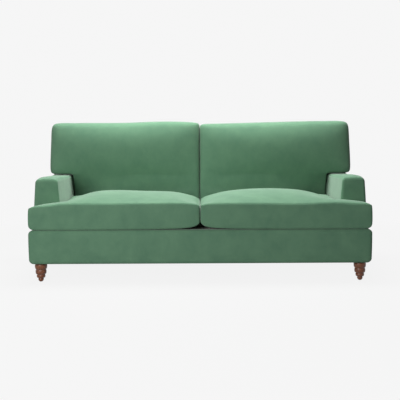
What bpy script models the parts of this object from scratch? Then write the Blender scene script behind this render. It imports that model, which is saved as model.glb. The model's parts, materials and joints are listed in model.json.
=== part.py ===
# A two-seat sofa bed: an upholstered box on turned legs, loose seat and back cushions,
# and a three-section metal bed action that folds into a Z under the seat cushions.
# Metres, +Z up, front of the sofa towards -Y. Each piece is one closed mesh.

import math

import bmesh
import bpy
from mathutils import Matrix, Vector

# Overall sizes
WIDTH = 2.05
DEPTH = 1.04
BACK_CUSHION_TOP = 0.955
GAP = 0.0003              # left between pieces that touch
PIVOT_PLAY = 0.0003       # radial play of a pin in its hole
SIDE_PLAY = 0.0005        # sideways play beside a pin's head

# Upholstered box
LEG_HEIGHT = 0.112
FRONT_RAIL_THICKNESS = 0.045
REAR_RAIL_THICKNESS = 0.045
BASE_SIDE_WIDTH = 0.14
BASE_EDGE_RADIUS = 0.012
LEDGE_THICKNESS = 0.03

# Turned legs, beads from the top down; the last bead fills what is left of the height
LEG_SIDE_INSET = 0.066
LEG_END_INSET = 0.07
LEG_BEAD_RADII = (0.0365, 0.0335, 0.0245, 0.0145)
LEG_BEAD_HEIGHTS = (0.034, 0.031, 0.022)
LEG_GROOVE_DEPTH = 0.0035
LEG_SIDES = 24
LEG_POINTS_PER_BEAD = 5

# Arms
ARM_SETBACK = 0.20
ARM_TOP = 0.595
ARM_FOOT_WIDTH = 0.158
ARM_TOP_WIDTH = 0.130
ARM_OUTER_LEAN = 0.008
ARM_EDGE_RADIUS = 0.016

# Back panel: upright at the rear, leaning at the front
BACK_PANEL_TOP = 0.86
BACK_PANEL_FOOT_THICKNESS = 0.095
BACK_LEAN = math.radians(5.0)
BACK_EDGE_RADIUS = 0.012

# Bed action, stacked in the base from the bottom: head, middle (face down), foot
STACK_FLOOR_CLEARANCE = 0.008
FRAME_HEIGHT = 0.018
DECK_THICKNESS = 0.0015
MATTRESS_THICKNESS = 0.0435
FOLD_GAP = 0.0006         # between the two mattress faces of the head fold
HINGE_GAP = 0.0010        # between the middle frame and the foot frame
MATTRESS_EDGE_RADIUS = 0.008
FRAME_SIDE_CLEARANCE = 0.010  # mattress to frame bar
FRAME_BAR_WIDTH = 0.020
BAR_SIDE_CLEARANCE = 0.004    # head or foot bar to middle bar
HEAD_FOLD_SETBACK = 0.075     # head fold axis behind the front rail
FOOT_FOLD_CLEARANCE = 0.0394  # foot fold axis to the ledge behind it
HEAD_REAR_CLEARANCE = 0.0444  # head section to the ledge behind it
FOOT_FRONT_CLEARANCE = 0.010  # front rail to the folded foot section
MATTRESS_END_GAP = 0.004
EAR_RADIUS = 0.012
PIN_RADIUS = 0.005
PIN_HEAD_RADIUS = 0.0078
PIN_HEAD_THICKNESS = 0.0025
CROSS_TUBE_RADIUS = 0.006
CROSS_TUBE_INSET = 0.05

# Lift arms that raise the head section over the front rail
LIFT_LENGTH = 0.25
LIFT_HALF_SWING = math.radians(27)
LIFT_ARM_THICKNESS = 0.008
LIFT_ARM_RADIUS = 0.011
LIFT_SIDE_CLEARANCE = 0.0055   # middle bar to lift arm
LIFT_MOUNT_CLEARANCE = 0.006   # lift arm to mounting rail
FRONT_LIFT_SETBACK = 0.055     # head fold axis to the front lift pivot
REAR_STUD_INSET = 0.0228       # rear end of the head section to its rear stud
MOUNT_FLANGE_WIDTH = 0.0562
MOUNT_PLATE_THICKNESS = 0.005
MOUNT_PLATE_HALF_HEIGHT = 0.035
MOUNT_END_MARGIN = 0.06

# Fold-down legs under the bed
BED_FOOT_CLEARANCE = 0.003     # leg tip above the floor when the bed is open
BED_LEG_EYE_RADIUS = 0.0086
BED_LEG_HALF_THICKNESS = 0.0065
BED_LEG_WIDTH = 0.014
BED_LEG_BAR_RADIUS = 0.0065
MIDDLE_LEG_PIVOT = 0.06        # foot fold axis to the middle leg pivot
FOOT_LEG_PIVOT = 0.035         # front end of the foot section to the foot leg pivot
MIDDLE_LEG_SIDE_GAP = 0.013    # leg post inside the edge of the mattress
FOOT_LEG_SIDE_GAP = 0.058

# Loose cushions
CUSHION_MIDDLE_GAP = 0.0015    # cushion to the sofa's centre plane
CUSHION_ARM_GAP = 0.004
CUSHION_EDGE = 0.022           # roundness of the cushion edges
CUSHION_DRAW = 0.008           # how far edges are drawn in from the belly of a side
SEAT_THICKNESS = 0.153
SEAT_CROWN = 0.064
SEAT_REAR_GAP = 0.014          # seat cushion to back cushion at the foot
BACK_CUSHION_THICKNESS = 0.195
BACK_CUSHION_TOP_THICKNESS = 0.160
BACK_CUSHION_CROWN = 0.034
BACK_CUSHION_PANEL_GAP = 0.0006
BACK_EAR_GAP = 0.004           # arm top to the ear of the back cushion
CUSHION_CELLS = 4              # lattice cells across a cushion between its edges

# Heights of the folded bed
FRONT = -DEPTH / 2
REAR = DEPTH / 2
STACK_FLOOR = LEG_HEIGHT + STACK_FLOOR_CLEARANCE
LAYER = FRAME_HEIGHT + GAP + DECK_THICKNESS + GAP + MATTRESS_THICKNESS
HEAD_FRAME_Z = (STACK_FLOOR, STACK_FLOOR + FRAME_HEIGHT)
HEAD_DECK_Z = (HEAD_FRAME_Z[1] + GAP, HEAD_FRAME_Z[1] + GAP + DECK_THICKNESS)
HEAD_MATTRESS_Z = (HEAD_DECK_Z[1] + GAP, HEAD_DECK_Z[1] + GAP + MATTRESS_THICKNESS)
HEAD_FOLD_Z = HEAD_MATTRESS_Z[1] + FOLD_GAP / 2
MIDDLE_FRAME_Z = (HEAD_FOLD_Z + FOLD_GAP / 2 + LAYER - FRAME_HEIGHT, HEAD_FOLD_Z + FOLD_GAP / 2 + LAYER)
MIDDLE_DECK_Z = (MIDDLE_FRAME_Z[0] - GAP - DECK_THICKNESS, MIDDLE_FRAME_Z[0] - GAP)
MIDDLE_MATTRESS_Z = (MIDDLE_DECK_Z[0] - GAP - MATTRESS_THICKNESS, MIDDLE_DECK_Z[0] - GAP)
FOOT_FOLD_Z = MIDDLE_FRAME_Z[1] + HINGE_GAP / 2
FOOT_FRAME_Z = (FOOT_FOLD_Z + HINGE_GAP / 2, FOOT_FOLD_Z + HINGE_GAP / 2 + FRAME_HEIGHT)
FOOT_DECK_Z = (FOOT_FRAME_Z[1] + GAP, FOOT_FRAME_Z[1] + GAP + DECK_THICKNESS)
FOOT_MATTRESS_Z = (FOOT_DECK_Z[1] + GAP, FOOT_DECK_Z[1] + GAP + MATTRESS_THICKNESS)
BASE_TOP = FOOT_MATTRESS_Z[1]

# Places along the depth
RAIL_INSIDE = FRONT + FRONT_RAIL_THICKNESS
ARM_FRONT = FRONT + ARM_SETBACK
PANEL_FOOT_Y = REAR - BACK_PANEL_FOOT_THICKNESS
LEDGE_FRONT = PANEL_FOOT_Y - BACK_CUSHION_PANEL_GAP - BACK_CUSHION_THICKNESS
SEAT_REAR = LEDGE_FRONT - SEAT_REAR_GAP
HEAD_FOLD_Y = RAIL_INSIDE + HEAD_FOLD_SETBACK
FOOT_FOLD_Y = LEDGE_FRONT - FOOT_FOLD_CLEARANCE
HEAD_REAR_Y = LEDGE_FRONT - HEAD_REAR_CLEARANCE
FOOT_FRONT_Y = RAIL_INSIDE + FOOT_FRONT_CLEARANCE
FRONT_LIFT_Y = HEAD_FOLD_Y + FRONT_LIFT_SETBACK
LIFT_REACH = LIFT_LENGTH * math.cos(LIFT_HALF_SWING)
LIFT_RISE = 2 * LIFT_LENGTH * math.sin(LIFT_HALF_SWING)
HEAD_PIVOT_Z = sum(HEAD_FRAME_Z) / 2
LIFT_PIVOT_Z = HEAD_PIVOT_Z + LIFT_RISE / 2
HEAD_FRONT_STUD_Y = FRONT_LIFT_Y + LIFT_REACH
HEAD_REAR_STUD_Y = HEAD_REAR_Y - REAR_STUD_INSET
REAR_LIFT_Y = HEAD_REAR_STUD_Y - LIFT_REACH

# Places across the width, for the right-hand side
SIDE_INSIDE = WIDTH / 2 - BASE_SIDE_WIDTH
MOUNT_X = SIDE_INSIDE - GAP - MOUNT_FLANGE_WIDTH
LIFT_ARM_X = (MOUNT_X - LIFT_MOUNT_CLEARANCE - LIFT_ARM_THICKNESS, MOUNT_X - LIFT_MOUNT_CLEARANCE)
MIDDLE_BAR_X = (LIFT_ARM_X[0] - LIFT_SIDE_CLEARANCE - FRAME_BAR_WIDTH, LIFT_ARM_X[0] - LIFT_SIDE_CLEARANCE)
END_BAR_X = (MIDDLE_BAR_X[0] - BAR_SIDE_CLEARANCE - FRAME_BAR_WIDTH, MIDDLE_BAR_X[0] - BAR_SIDE_CLEARANCE)
MATTRESS_HALF_WIDTH = END_BAR_X[0] - FRAME_SIDE_CLEARANCE
ARM_INSIDE = WIDTH / 2 - ARM_FOOT_WIDTH

# Heights of the open bed
OPEN_SHIFT = LIFT_RISE + HEAD_FOLD_Z
OPEN_FRAME_Z = OPEN_SHIFT - FOLD_GAP / 2 - LAYER + FRAME_HEIGHT / 2
BED_LEG_LENGTH = OPEN_FRAME_Z - BED_FOOT_CLEARANCE

SIDES = (("left", -1), ("right", 1))
PIN_SIDES = 16
TUBE_SIDES = 12


def clear_scene():
    for item in list(bpy.data.objects):
        bpy.data.objects.remove(item, do_unlink=True)


def make_material(name, colour, roughness, metallic=0.0):
    material = bpy.data.materials.new(name)
    material.use_nodes = True
    shader = material.node_tree.nodes["Principled BSDF"]
    shader.inputs["Base Color"].default_value = (*colour, 1.0)
    shader.inputs["Roughness"].default_value = roughness
    shader.inputs["Metallic"].default_value = metallic
    return material


def make_joint_frame(name, place, parent=None):
    """An empty on a joint's axis that carries the pieces of one moving body."""
    frame = bpy.data.objects.new(name, None)
    bpy.context.scene.collection.objects.link(frame)
    frame["world_place"] = place
    frame.parent = parent
    carried = Vector(parent["world_place"]) if parent else Vector()
    frame.location = Vector(place) - carried
    return frame


def add_piece(name, shape, material, frame=None, smooth=False):
    """Links a bmesh made in world coordinates as one named piece of a body."""
    if frame:
        bmesh.ops.translate(shape, verts=shape.verts, vec=-Vector(frame["world_place"]))
    bmesh.ops.recalc_face_normals(shape, faces=shape.faces)
    mesh = bpy.data.meshes.new(name)
    shape.to_mesh(mesh)
    shape.free()
    mesh.materials.append(material)
    if smooth:
        mesh.shade_smooth()
        mesh.set_sharp_from_angle(angle=math.radians(40))
    piece = bpy.data.objects.new(name, mesh)
    bpy.context.scene.collection.objects.link(piece)
    piece.parent = frame
    return piece


def mirrored(span, sign):
    return tuple(sorted(sign * value for value in span))


def block(x, y, z, radius=0.0, rear_top=None, x_top=None):
    """A box from three spans; the rear face and the sides may lean towards the top."""
    x_top = x_top or x
    rear_top = y[1] if rear_top is None else rear_top
    low = [(x[0], y[0]), (x[1], y[0]), (x[1], y[1]), (x[0], y[1])]
    high = [(x_top[0], y[0]), (x_top[1], y[0]), (x_top[1], rear_top), (x_top[0], rear_top)]
    shape = bmesh.new()
    below = [shape.verts.new((*corner, z[0])) for corner in low]
    above = [shape.verts.new((*corner, z[1])) for corner in high]
    shape.faces.new(reversed(below))
    shape.faces.new(above)
    for i in range(4):
        j = (i + 1) % 4
        shape.faces.new((below[i], below[j], above[j], above[i]))
    if radius:
        bmesh.ops.bevel(shape, geom=shape.edges[:], offset=radius, segments=3, profile=0.5, affect="EDGES")
    return shape


def arc(centre, radius, start, end, steps=8):
    """Points of an arc in the side view (y, z), angles in degrees from the rear."""
    turn = [math.radians(start + (end - start) * i / steps) for i in range(steps + 1)]
    return [(centre[0] + radius * math.cos(a), centre[1] + radius * math.sin(a)) for a in turn]


def side_plate(outline, holes, x):
    """A plate with a side-view outline and round holes (y, z, radius), thick along X."""
    shape = bmesh.new()
    loops = [outline]
    for hole_y, hole_z, radius in holes:
        loops.append(arc((hole_y, hole_z), radius, 0, 360, PIN_SIDES)[:-1])
    edges = []
    for loop in loops:
        verts = [shape.verts.new((x[0], y, z)) for y, z in loop]
        edges += [shape.edges.new((verts[i], verts[(i + 1) % len(verts)])) for i in range(len(verts))]
    bmesh.ops.triangle_fill(shape, use_beauty=True, edges=edges)
    grown = bmesh.ops.extrude_face_region(shape, geom=shape.faces[:], use_keep_orig=True)
    moved = [item for item in grown["geom"] if isinstance(item, bmesh.types.BMVert)]
    bmesh.ops.translate(shape, verts=moved, vec=(x[1] - x[0], 0, 0))
    return shape


def link_outline(start, end, start_radius, end_radius):
    """A bar with round ends between two pivots of the side view."""
    turn = math.degrees(math.atan2(end[1] - start[1], end[0] - start[0]))
    return arc(end, end_radius, turn - 90, turn + 90) + arc(start, start_radius, turn + 90, turn + 270)


def turned(profile, sides):
    """A solid turned about Z from (radius, height) points, its ends closed."""
    shape = bmesh.new()
    rings = []
    for radius, height in profile:
        turn = [2 * math.pi * i / sides for i in range(sides)]
        rings.append([shape.verts.new((radius * math.cos(a), radius * math.sin(a), height)) for a in turn])
    for lower, upper in zip(rings, rings[1:]):
        for i in range(sides):
            j = (i + 1) % sides
            shape.faces.new((lower[i], lower[j], upper[j], upper[i]))
    shape.faces.new(rings[0])
    shape.faces.new(rings[-1])
    return shape


def turned_across(profile, sides, sign, y, z):
    """The same solid with its axis along X at a place of the side view, on either side."""
    shape = turned(profile, sides)
    spin = Matrix.Rotation(math.radians(90) * sign, 4, "Y")
    bmesh.ops.transform(shape, matrix=Matrix.Translation((0, y, z)) @ spin, verts=shape.verts)
    return shape


def cross_tube(half_width, y, z, radius):
    return turned_across([(radius, -half_width), (radius, half_width)], TUBE_SIDES, 1, y, z)


def panel_front(z):
    """Front face of the leaning back panel at a height."""
    return PANEL_FOOT_Y + (z - BASE_TOP) * math.tan(BACK_LEAN)


def cell_steps(low, high):
    """Lattice places between two edges: a tight cell at each end, even cells between."""
    inner_low = low + CUSHION_EDGE
    inner_high = high - CUSHION_EDGE
    even = [inner_low + (inner_high - inner_low) * i / CUSHION_CELLS for i in range(CUSHION_CELLS + 1)]
    return [low] + even + [high]


def ear_steps(low, high):
    """Lattice places of an ear beyond the main part of a cushion."""
    return [low + CUSHION_EDGE, high - CUSHION_EDGE, high]


def lattice_skin(steps, keep, place):
    """The outer skin of the kept cells of a lattice, each point moved by a shaping rule."""
    shape = bmesh.new()
    verts = {}

    def vert(index):
        if index not in verts:
            verts[index] = shape.verts.new(place(*(steps[axis][index[axis]] for axis in range(3))))
        return verts[index]

    counts = [len(step) - 1 for step in steps]
    cells = [(i, j, k) for i in range(counts[0]) for j in range(counts[1]) for k in range(counts[2])]
    kept = {cell for cell in cells if keep(*(sum(steps[a][cell[a]:cell[a] + 2]) / 2 for a in range(3)))}
    for cell in sorted(kept):
        for axis in range(3):
            for side in (0, 1):
                beside = list(cell)
                beside[axis] += 2 * side - 1
                if tuple(beside) in kept:
                    continue
                first, second = [a for a in range(3) if a != axis]
                loop = []
                for du, dv in ((0, 0), (1, 0), (1, 1), (0, 1)):
                    corner = list(cell)
                    corner[axis] += side
                    corner[first] += du
                    corner[second] += dv
                    loop.append(vert(tuple(corner)))
                shape.faces.new(loop)
    return shape


def add_cushion(name, shape, material, frame):
    piece = add_piece(name, shape, material, frame, smooth=True)
    rounding = piece.modifiers.new("rounding", "SUBSURF")
    rounding.levels = 1
    rounding.render_levels = 1


def dome(value, low, high):
    """1 in the middle of a span, 0 at its ends and beyond."""
    share = min(max((value - low) / (high - low), 0.0), 1.0)
    return 4 * share * (1 - share)


def add_carcass(fabric, wood, timber):
    half = WIDTH / 2
    base_z = (LEG_HEIGHT, BASE_TOP)
    add_piece("front_rail", block((-half, half), (FRONT, RAIL_INSIDE), base_z, BASE_EDGE_RADIUS), fabric)
    rear_y = (REAR - REAR_RAIL_THICKNESS, REAR)
    rear_x = SIDE_INSIDE - GAP
    add_piece("rear_rail", block((-rear_x, rear_x), rear_y, base_z), timber)
    ledge_z = (BASE_TOP - LEDGE_THICKNESS, BASE_TOP)
    add_piece("back_cushion_ledge", block((-rear_x, rear_x), (LEDGE_FRONT, rear_y[0] - GAP), ledge_z), timber)
    panel = block((-half, half), (-REAR, -PANEL_FOOT_Y), (BASE_TOP + GAP, BACK_PANEL_TOP),
                  BACK_EDGE_RADIUS, rear_top=-panel_front(BACK_PANEL_TOP))
    bmesh.ops.scale(panel, verts=panel.verts, vec=(1, -1, 1))
    add_piece("back_panel", panel, fabric)
    for side, sign in SIDES:
        base_x = mirrored((SIDE_INSIDE, half), sign)
        base_y = (RAIL_INSIDE + GAP, REAR)
        add_piece(f"{side}_base_side", block(base_x, base_y, base_z), fabric)
        foot_x = mirrored((half - ARM_FOOT_WIDTH, half), sign)
        top_outer = half - ARM_OUTER_LEAN
        top_x = mirrored((top_outer - ARM_TOP_WIDTH, top_outer), sign)
        arm_y = (ARM_FRONT, panel_front(BASE_TOP) - GAP)
        arm = block(foot_x, arm_y, (BASE_TOP + GAP, ARM_TOP), ARM_EDGE_RADIUS,
                    rear_top=panel_front(ARM_TOP) - GAP, x_top=top_x)
        add_piece(f"{side}_arm", arm, fabric)
        for end, facing in (("front", -1), ("rear", 1)):
            leg = turned(leg_profile(), LEG_SIDES)
            place = (sign * (half - LEG_SIDE_INSET), facing * (REAR - LEG_END_INSET), 0)
            bmesh.ops.translate(leg, verts=leg.verts, vec=place)
            add_piece(f"{end}_{side}_leg", leg, wood, smooth=True)


def leg_profile():
    """(radius, height) points of a leg from the floor up, one bulge for each bead."""
    heights = [*LEG_BEAD_HEIGHTS, LEG_HEIGHT - GAP - sum(LEG_BEAD_HEIGHTS)]
    profile = []
    bead_top = LEG_HEIGHT - GAP
    for radius, height in zip(LEG_BEAD_RADII, heights):
        for step in range(LEG_POINTS_PER_BEAD):
            share = step / (LEG_POINTS_PER_BEAD - 1)
            bulge = LEG_GROOVE_DEPTH * (1 - math.sin(math.pi * share))
            lift = GAP if step == LEG_POINTS_PER_BEAD - 1 and height != heights[-1] else 0
            profile.append((radius - bulge, bead_top - height * share + lift))
        bead_top -= height
    return profile[::-1]


def stud_profile(root_x, eye_x):
    """A stud that stands on a face at root_x and holds an eye between its face and its head."""
    outward = 1 if eye_x[1] > root_x else -1
    far_face = max(eye_x) if outward > 0 else min(eye_x)
    near = root_x + outward * GAP
    neck = far_face + outward * SIDE_PLAY
    head = neck + outward * PIN_HEAD_THICKNESS
    return [(PIN_RADIUS, near), (PIN_RADIUS, neck), (PIN_HEAD_RADIUS, neck), (PIN_HEAD_RADIUS, head)]


def hinge_pin_profile(inner_x, outer_x):
    """A pin with a head on each side of two bars."""
    low = inner_x - SIDE_PLAY
    high = outer_x + SIDE_PLAY
    return [(PIN_HEAD_RADIUS, low - PIN_HEAD_THICKNESS), (PIN_HEAD_RADIUS, low), (PIN_RADIUS, low),
            (PIN_RADIUS, high), (PIN_HEAD_RADIUS, high), (PIN_HEAD_RADIUS, high + PIN_HEAD_THICKNESS)]


def add_mounting_rails(steel):
    rail_y = (FRONT_LIFT_Y - MOUNT_END_MARGIN, REAR_LIFT_Y + MOUNT_END_MARGIN)
    low = LIFT_PIVOT_Z - MOUNT_PLATE_HALF_HEIGHT
    high = LIFT_PIVOT_Z + MOUNT_PLATE_HALF_HEIGHT
    for side, sign in SIDES:
        plate = (MOUNT_X, MOUNT_X + MOUNT_PLATE_THICKNESS)
        flange = SIDE_INSIDE - GAP
        corners = [(plate[0], low), (flange, low), (flange, low + MOUNT_PLATE_THICKNESS),
                   (plate[1], low + MOUNT_PLATE_THICKNESS), (plate[1], high), (plate[0], high)]
        shape = bmesh.new()
        face = shape.faces.new([shape.verts.new((sign * x, rail_y[0], z)) for x, z in corners])
        grown = bmesh.ops.extrude_face_region(shape, geom=[face], use_keep_orig=True)
        moved = [item for item in grown["geom"] if isinstance(item, bmesh.types.BMVert)]
        bmesh.ops.translate(shape, verts=moved, vec=(0, rail_y[1] - rail_y[0], 0))
        add_piece(f"{side}_mounting_rail", shape, steel)
        for end, pivot_y in (("front", FRONT_LIFT_Y), ("rear", REAR_LIFT_Y)):
            profile = stud_profile(MOUNT_X, LIFT_ARM_X[::-1])
            stud = turned_across(profile, PIN_SIDES, sign, pivot_y, LIFT_PIVOT_Z)
            add_piece(f"{end}_{side}_lift_stud", stud, steel, smooth=True)


def add_lift_arms(steel):
    frames = {}
    for end, pivot_y in (("front", FRONT_LIFT_Y), ("rear", REAR_LIFT_Y)):
        frame = make_joint_frame(f"{end}_lift_axis", (0, pivot_y, LIFT_PIVOT_Z))
        frames[end] = frame
        low = (pivot_y, LIFT_PIVOT_Z)
        high = (pivot_y + LIFT_REACH, HEAD_PIVOT_Z)
        hole = PIN_RADIUS + PIVOT_PLAY
        for side, sign in SIDES:
            outline = link_outline(low, high, LIFT_ARM_RADIUS, LIFT_ARM_RADIUS)
            bar = side_plate(outline, [(*low, hole), (*high, hole)], mirrored(LIFT_ARM_X, sign))
            add_piece(f"{end}_{side}_lift_arm", bar, steel, frame)
    return frames


def add_cross_tubes(names_places, bar_x, z, steel, frame):
    for name, y in names_places:
        add_piece(name, cross_tube(bar_x[0] - GAP, y, z, CROSS_TUBE_RADIUS), steel, frame, smooth=True)


def add_deck_and_mattress(section, y, deck_z, mattress_z, bar_x, materials, frame):
    deck_y = (y[0] + EAR_RADIUS + MATTRESS_END_GAP, y[1] - EAR_RADIUS - MATTRESS_END_GAP)
    deck = block((-bar_x[1], bar_x[1]), deck_y, deck_z)
    add_piece(f"{section}_deck", deck, materials["webbing"], frame)
    half = MATTRESS_HALF_WIDTH
    pad_y = (y[0] + MATTRESS_END_GAP, y[1] - MATTRESS_END_GAP)
    pad = block((-half, half), pad_y, mattress_z, MATTRESS_EDGE_RADIUS)
    add_piece(f"{section}_mattress", pad, materials["ticking"], frame, smooth=True)


def add_head_section(materials, frame_parent):
    steel = materials["steel"]
    frame = make_joint_frame("head_section_axis", (0, HEAD_FRONT_STUD_Y, HEAD_PIVOT_Z), frame_parent)
    low, high = HEAD_FRAME_Z
    fold = (HEAD_FOLD_Y, HEAD_FOLD_Z)
    outline = [(HEAD_FOLD_Y - EAR_RADIUS, low), (HEAD_REAR_Y, low), (HEAD_REAR_Y, high),
               (HEAD_FOLD_Y + EAR_RADIUS, high)] + arc(fold, EAR_RADIUS, 0, 180)
    for side, sign in SIDES:
        bar = side_plate(outline, [(*fold, PIN_RADIUS + PIVOT_PLAY)], mirrored(END_BAR_X, sign))
        add_piece(f"head_{side}_bar", bar, steel, frame)
        pin = turned_across(hinge_pin_profile(END_BAR_X[0], MIDDLE_BAR_X[1]), PIN_SIDES, sign, *fold)
        add_piece(f"head_fold_{side}_pin", pin, steel, frame, smooth=True)
        for end, place in (("front", HEAD_FRONT_STUD_Y), ("rear", HEAD_REAR_STUD_Y)):
            profile = stud_profile(END_BAR_X[1], LIFT_ARM_X)
            stud = turned_across(profile, PIN_SIDES, sign, place, HEAD_PIVOT_Z)
            add_piece(f"head_{end}_{side}_stud", stud, steel, frame, smooth=True)
    tubes = [("head_front_tube", HEAD_FOLD_Y + CROSS_TUBE_INSET),
             ("head_rear_tube", HEAD_REAR_Y - CROSS_TUBE_INSET)]
    add_cross_tubes(tubes, END_BAR_X, HEAD_PIVOT_Z, steel, frame)
    add_deck_and_mattress("head", (HEAD_FOLD_Y, HEAD_REAR_Y), HEAD_DECK_Z, HEAD_MATTRESS_Z,
                          END_BAR_X, materials, frame)
    return frame


def add_middle_section(materials, frame_parent):
    steel = materials["steel"]
    head_fold = (HEAD_FOLD_Y, HEAD_FOLD_Z)
    foot_fold = (FOOT_FOLD_Y, FOOT_FOLD_Z)
    frame = make_joint_frame("middle_section_axis", (0, *head_fold), frame_parent)
    low, high = MIDDLE_FRAME_Z
    outline = (arc(head_fold, EAR_RADIUS, 180, 360)
               + [(HEAD_FOLD_Y + EAR_RADIUS, low), (FOOT_FOLD_Y + EAR_RADIUS, low)]
               + arc(foot_fold, EAR_RADIUS, 0, 180)
               + [(FOOT_FOLD_Y - EAR_RADIUS, high), (HEAD_FOLD_Y - EAR_RADIUS, high)])
    holes = [(*head_fold, PIN_RADIUS + PIVOT_PLAY), (*foot_fold, PIN_RADIUS + PIVOT_PLAY)]
    for side, sign in SIDES:
        bar = side_plate(outline, holes, mirrored(MIDDLE_BAR_X, sign))
        add_piece(f"middle_{side}_bar", bar, steel, frame)
        pin = turned_across(hinge_pin_profile(END_BAR_X[0], MIDDLE_BAR_X[1]), PIN_SIDES, sign, *foot_fold)
        add_piece(f"foot_fold_{side}_pin", pin, steel, frame, smooth=True)
    centre_z = sum(MIDDLE_FRAME_Z) / 2
    pivot_y = FOOT_FOLD_Y - MIDDLE_LEG_PIVOT
    tubes = [("middle_leg_tube", pivot_y), ("middle_front_tube", HEAD_FOLD_Y + CROSS_TUBE_INSET)]
    add_cross_tubes(tubes, MIDDLE_BAR_X, centre_z, steel, frame)
    add_deck_and_mattress("middle", (HEAD_FOLD_Y, FOOT_FOLD_Y), MIDDLE_DECK_Z, MIDDLE_MATTRESS_Z,
                          MIDDLE_BAR_X, materials, frame)
    post_x = MATTRESS_HALF_WIDTH - MIDDLE_LEG_SIDE_GAP
    add_bed_legs("middle", (pivot_y, centre_z), -1, post_x, steel, frame)
    return frame


def add_foot_section(materials, frame_parent):
    steel = materials["steel"]
    fold = (FOOT_FOLD_Y, FOOT_FOLD_Z)
    frame = make_joint_frame("foot_section_axis", (0, *fold), frame_parent)
    low, high = FOOT_FRAME_Z
    outline = (arc(fold, EAR_RADIUS, 180, 360)
               + [(FOOT_FOLD_Y + EAR_RADIUS, high), (FOOT_FRONT_Y, high), (FOOT_FRONT_Y, low),
                  (FOOT_FOLD_Y - EAR_RADIUS, low)])
    for side, sign in SIDES:
        bar = side_plate(outline, [(*fold, PIN_RADIUS + PIVOT_PLAY)], mirrored(END_BAR_X, sign))
        add_piece(f"foot_{side}_bar", bar, steel, frame)
    centre_z = sum(FOOT_FRAME_Z) / 2
    pivot_y = FOOT_FRONT_Y + FOOT_LEG_PIVOT
    tubes = [("foot_leg_tube", pivot_y), ("foot_rear_tube", FOOT_FOLD_Y - CROSS_TUBE_INSET)]
    add_cross_tubes(tubes, END_BAR_X, centre_z, steel, frame)
    add_deck_and_mattress("foot", (FOOT_FRONT_Y, FOOT_FOLD_Y), FOOT_DECK_Z, FOOT_MATTRESS_Z,
                          END_BAR_X, materials, frame)
    post_x = MATTRESS_HALF_WIDTH - FOOT_LEG_SIDE_GAP
    add_bed_legs("foot", (pivot_y, centre_z), 1, post_x, steel, frame)
    return frame


def add_bed_legs(section, pivot, reach, outer_x, steel, frame_parent):
    """Two posts that hang from a cross tube and a bar between their feet, folded flat."""
    frame = make_joint_frame(f"{section}_leg_axis", (0, *pivot), frame_parent)
    tip = (pivot[0] + reach * (BED_LEG_LENGTH - BED_LEG_HALF_THICKNESS), pivot[1])
    outline = link_outline(pivot, tip, BED_LEG_EYE_RADIUS, BED_LEG_HALF_THICKNESS)
    hole = (*pivot, CROSS_TUBE_RADIUS + PIVOT_PLAY)
    post_x = (outer_x - BED_LEG_WIDTH, outer_x)
    for side, sign in SIDES:
        post = side_plate(outline, [hole], mirrored(post_x, sign))
        add_piece(f"{section}_{side}_leg_post", post, steel, frame)
    bar = cross_tube(post_x[0] - GAP, tip[0], tip[1], BED_LEG_BAR_RADIUS)
    add_piece(f"{section}_leg_bar", bar, steel, frame, smooth=True)


def add_seat_cushion(side, sign, fabric, frame):
    """A seat cushion with an ear in front of the arm, crowned on top and bellied at the sides."""
    inner = CUSHION_MIDDLE_GAP
    main_outer = ARM_INSIDE - CUSHION_ARM_GAP
    ear_rear = ARM_FRONT - CUSHION_ARM_GAP
    low = BASE_TOP + GAP
    high = low + SEAT_THICKNESS
    x_steps = cell_steps(inner, main_outer) + ear_steps(main_outer, WIDTH / 2)
    y_steps = [FRONT, FRONT + CUSHION_EDGE, ear_rear - CUSHION_EDGE] + cell_steps(ear_rear, SEAT_REAR)
    z_steps = [low, low + CUSHION_EDGE, (low + high) / 2, high - CUSHION_EDGE, high]

    def keep(x, y, z):
        return x < main_outer or y < ear_rear

    def place(x, y, z):
        crown = SEAT_CROWN * dome(x, inner, main_outer) ** 0.5 * dome(y, FRONT, SEAT_REAR) ** 0.5
        share = (z - low) / (high - low)
        draw = CUSHION_DRAW * (2 * share - 1) ** 2
        moved_y = y + draw if y == FRONT else y
        moved_x = x - draw if x in (WIDTH / 2, main_outer) else x
        return sign * moved_x, moved_y, z + crown * share ** 2

    shape = lattice_skin((x_steps, y_steps, z_steps), keep, place)
    add_cushion(f"{side}_seat_cushion", shape, fabric, frame)


def add_back_cushion(side, sign, fabric):
    """A back cushion with an ear over the arm, leaning on the back panel, crowned in front."""
    inner = CUSHION_MIDDLE_GAP
    main_outer = ARM_INSIDE - CUSHION_ARM_GAP
    ear_low = ARM_TOP + BACK_EAR_GAP
    low = BASE_TOP + GAP
    x_steps = cell_steps(inner, main_outer) + ear_steps(main_outer, WIDTH / 2)
    z_steps = [low, low + CUSHION_EDGE, ear_low - CUSHION_EDGE] + cell_steps(ear_low, BACK_CUSHION_TOP)
    edge = CUSHION_EDGE / BACK_CUSHION_THICKNESS
    depth_steps = [0.0, edge, 0.5, 1.0 - edge, 1.0]

    def keep(x, depth, z):
        return x < main_outer or z > ear_low

    def place(x, depth, z):
        rise = (z - low) / (BACK_CUSHION_TOP - low)
        thickness = BACK_CUSHION_THICKNESS + (BACK_CUSHION_TOP_THICKNESS - BACK_CUSHION_THICKNESS) * rise
        crown = BACK_CUSHION_CROWN * dome(x, inner, main_outer) ** 0.5 * dome(z, low, BACK_CUSHION_TOP)
        draw = CUSHION_DRAW * (2 * depth - 1) ** 2
        moved_x = x - draw if x in (WIDTH / 2, main_outer) else x
        moved_z = z - draw if z == BACK_CUSHION_TOP else z
        back_y = panel_front(z) - BACK_CUSHION_PANEL_GAP
        return sign * moved_x, back_y - depth * thickness - crown * depth ** 2, moved_z

    shape = lattice_skin((x_steps, depth_steps, z_steps), keep, place)
    frame = make_joint_frame(f"{side}_back_cushion_place", (sign * main_outer / 2, LEDGE_FRONT, low))
    add_cushion(f"{side}_back_cushion", shape, fabric, frame)


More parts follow.
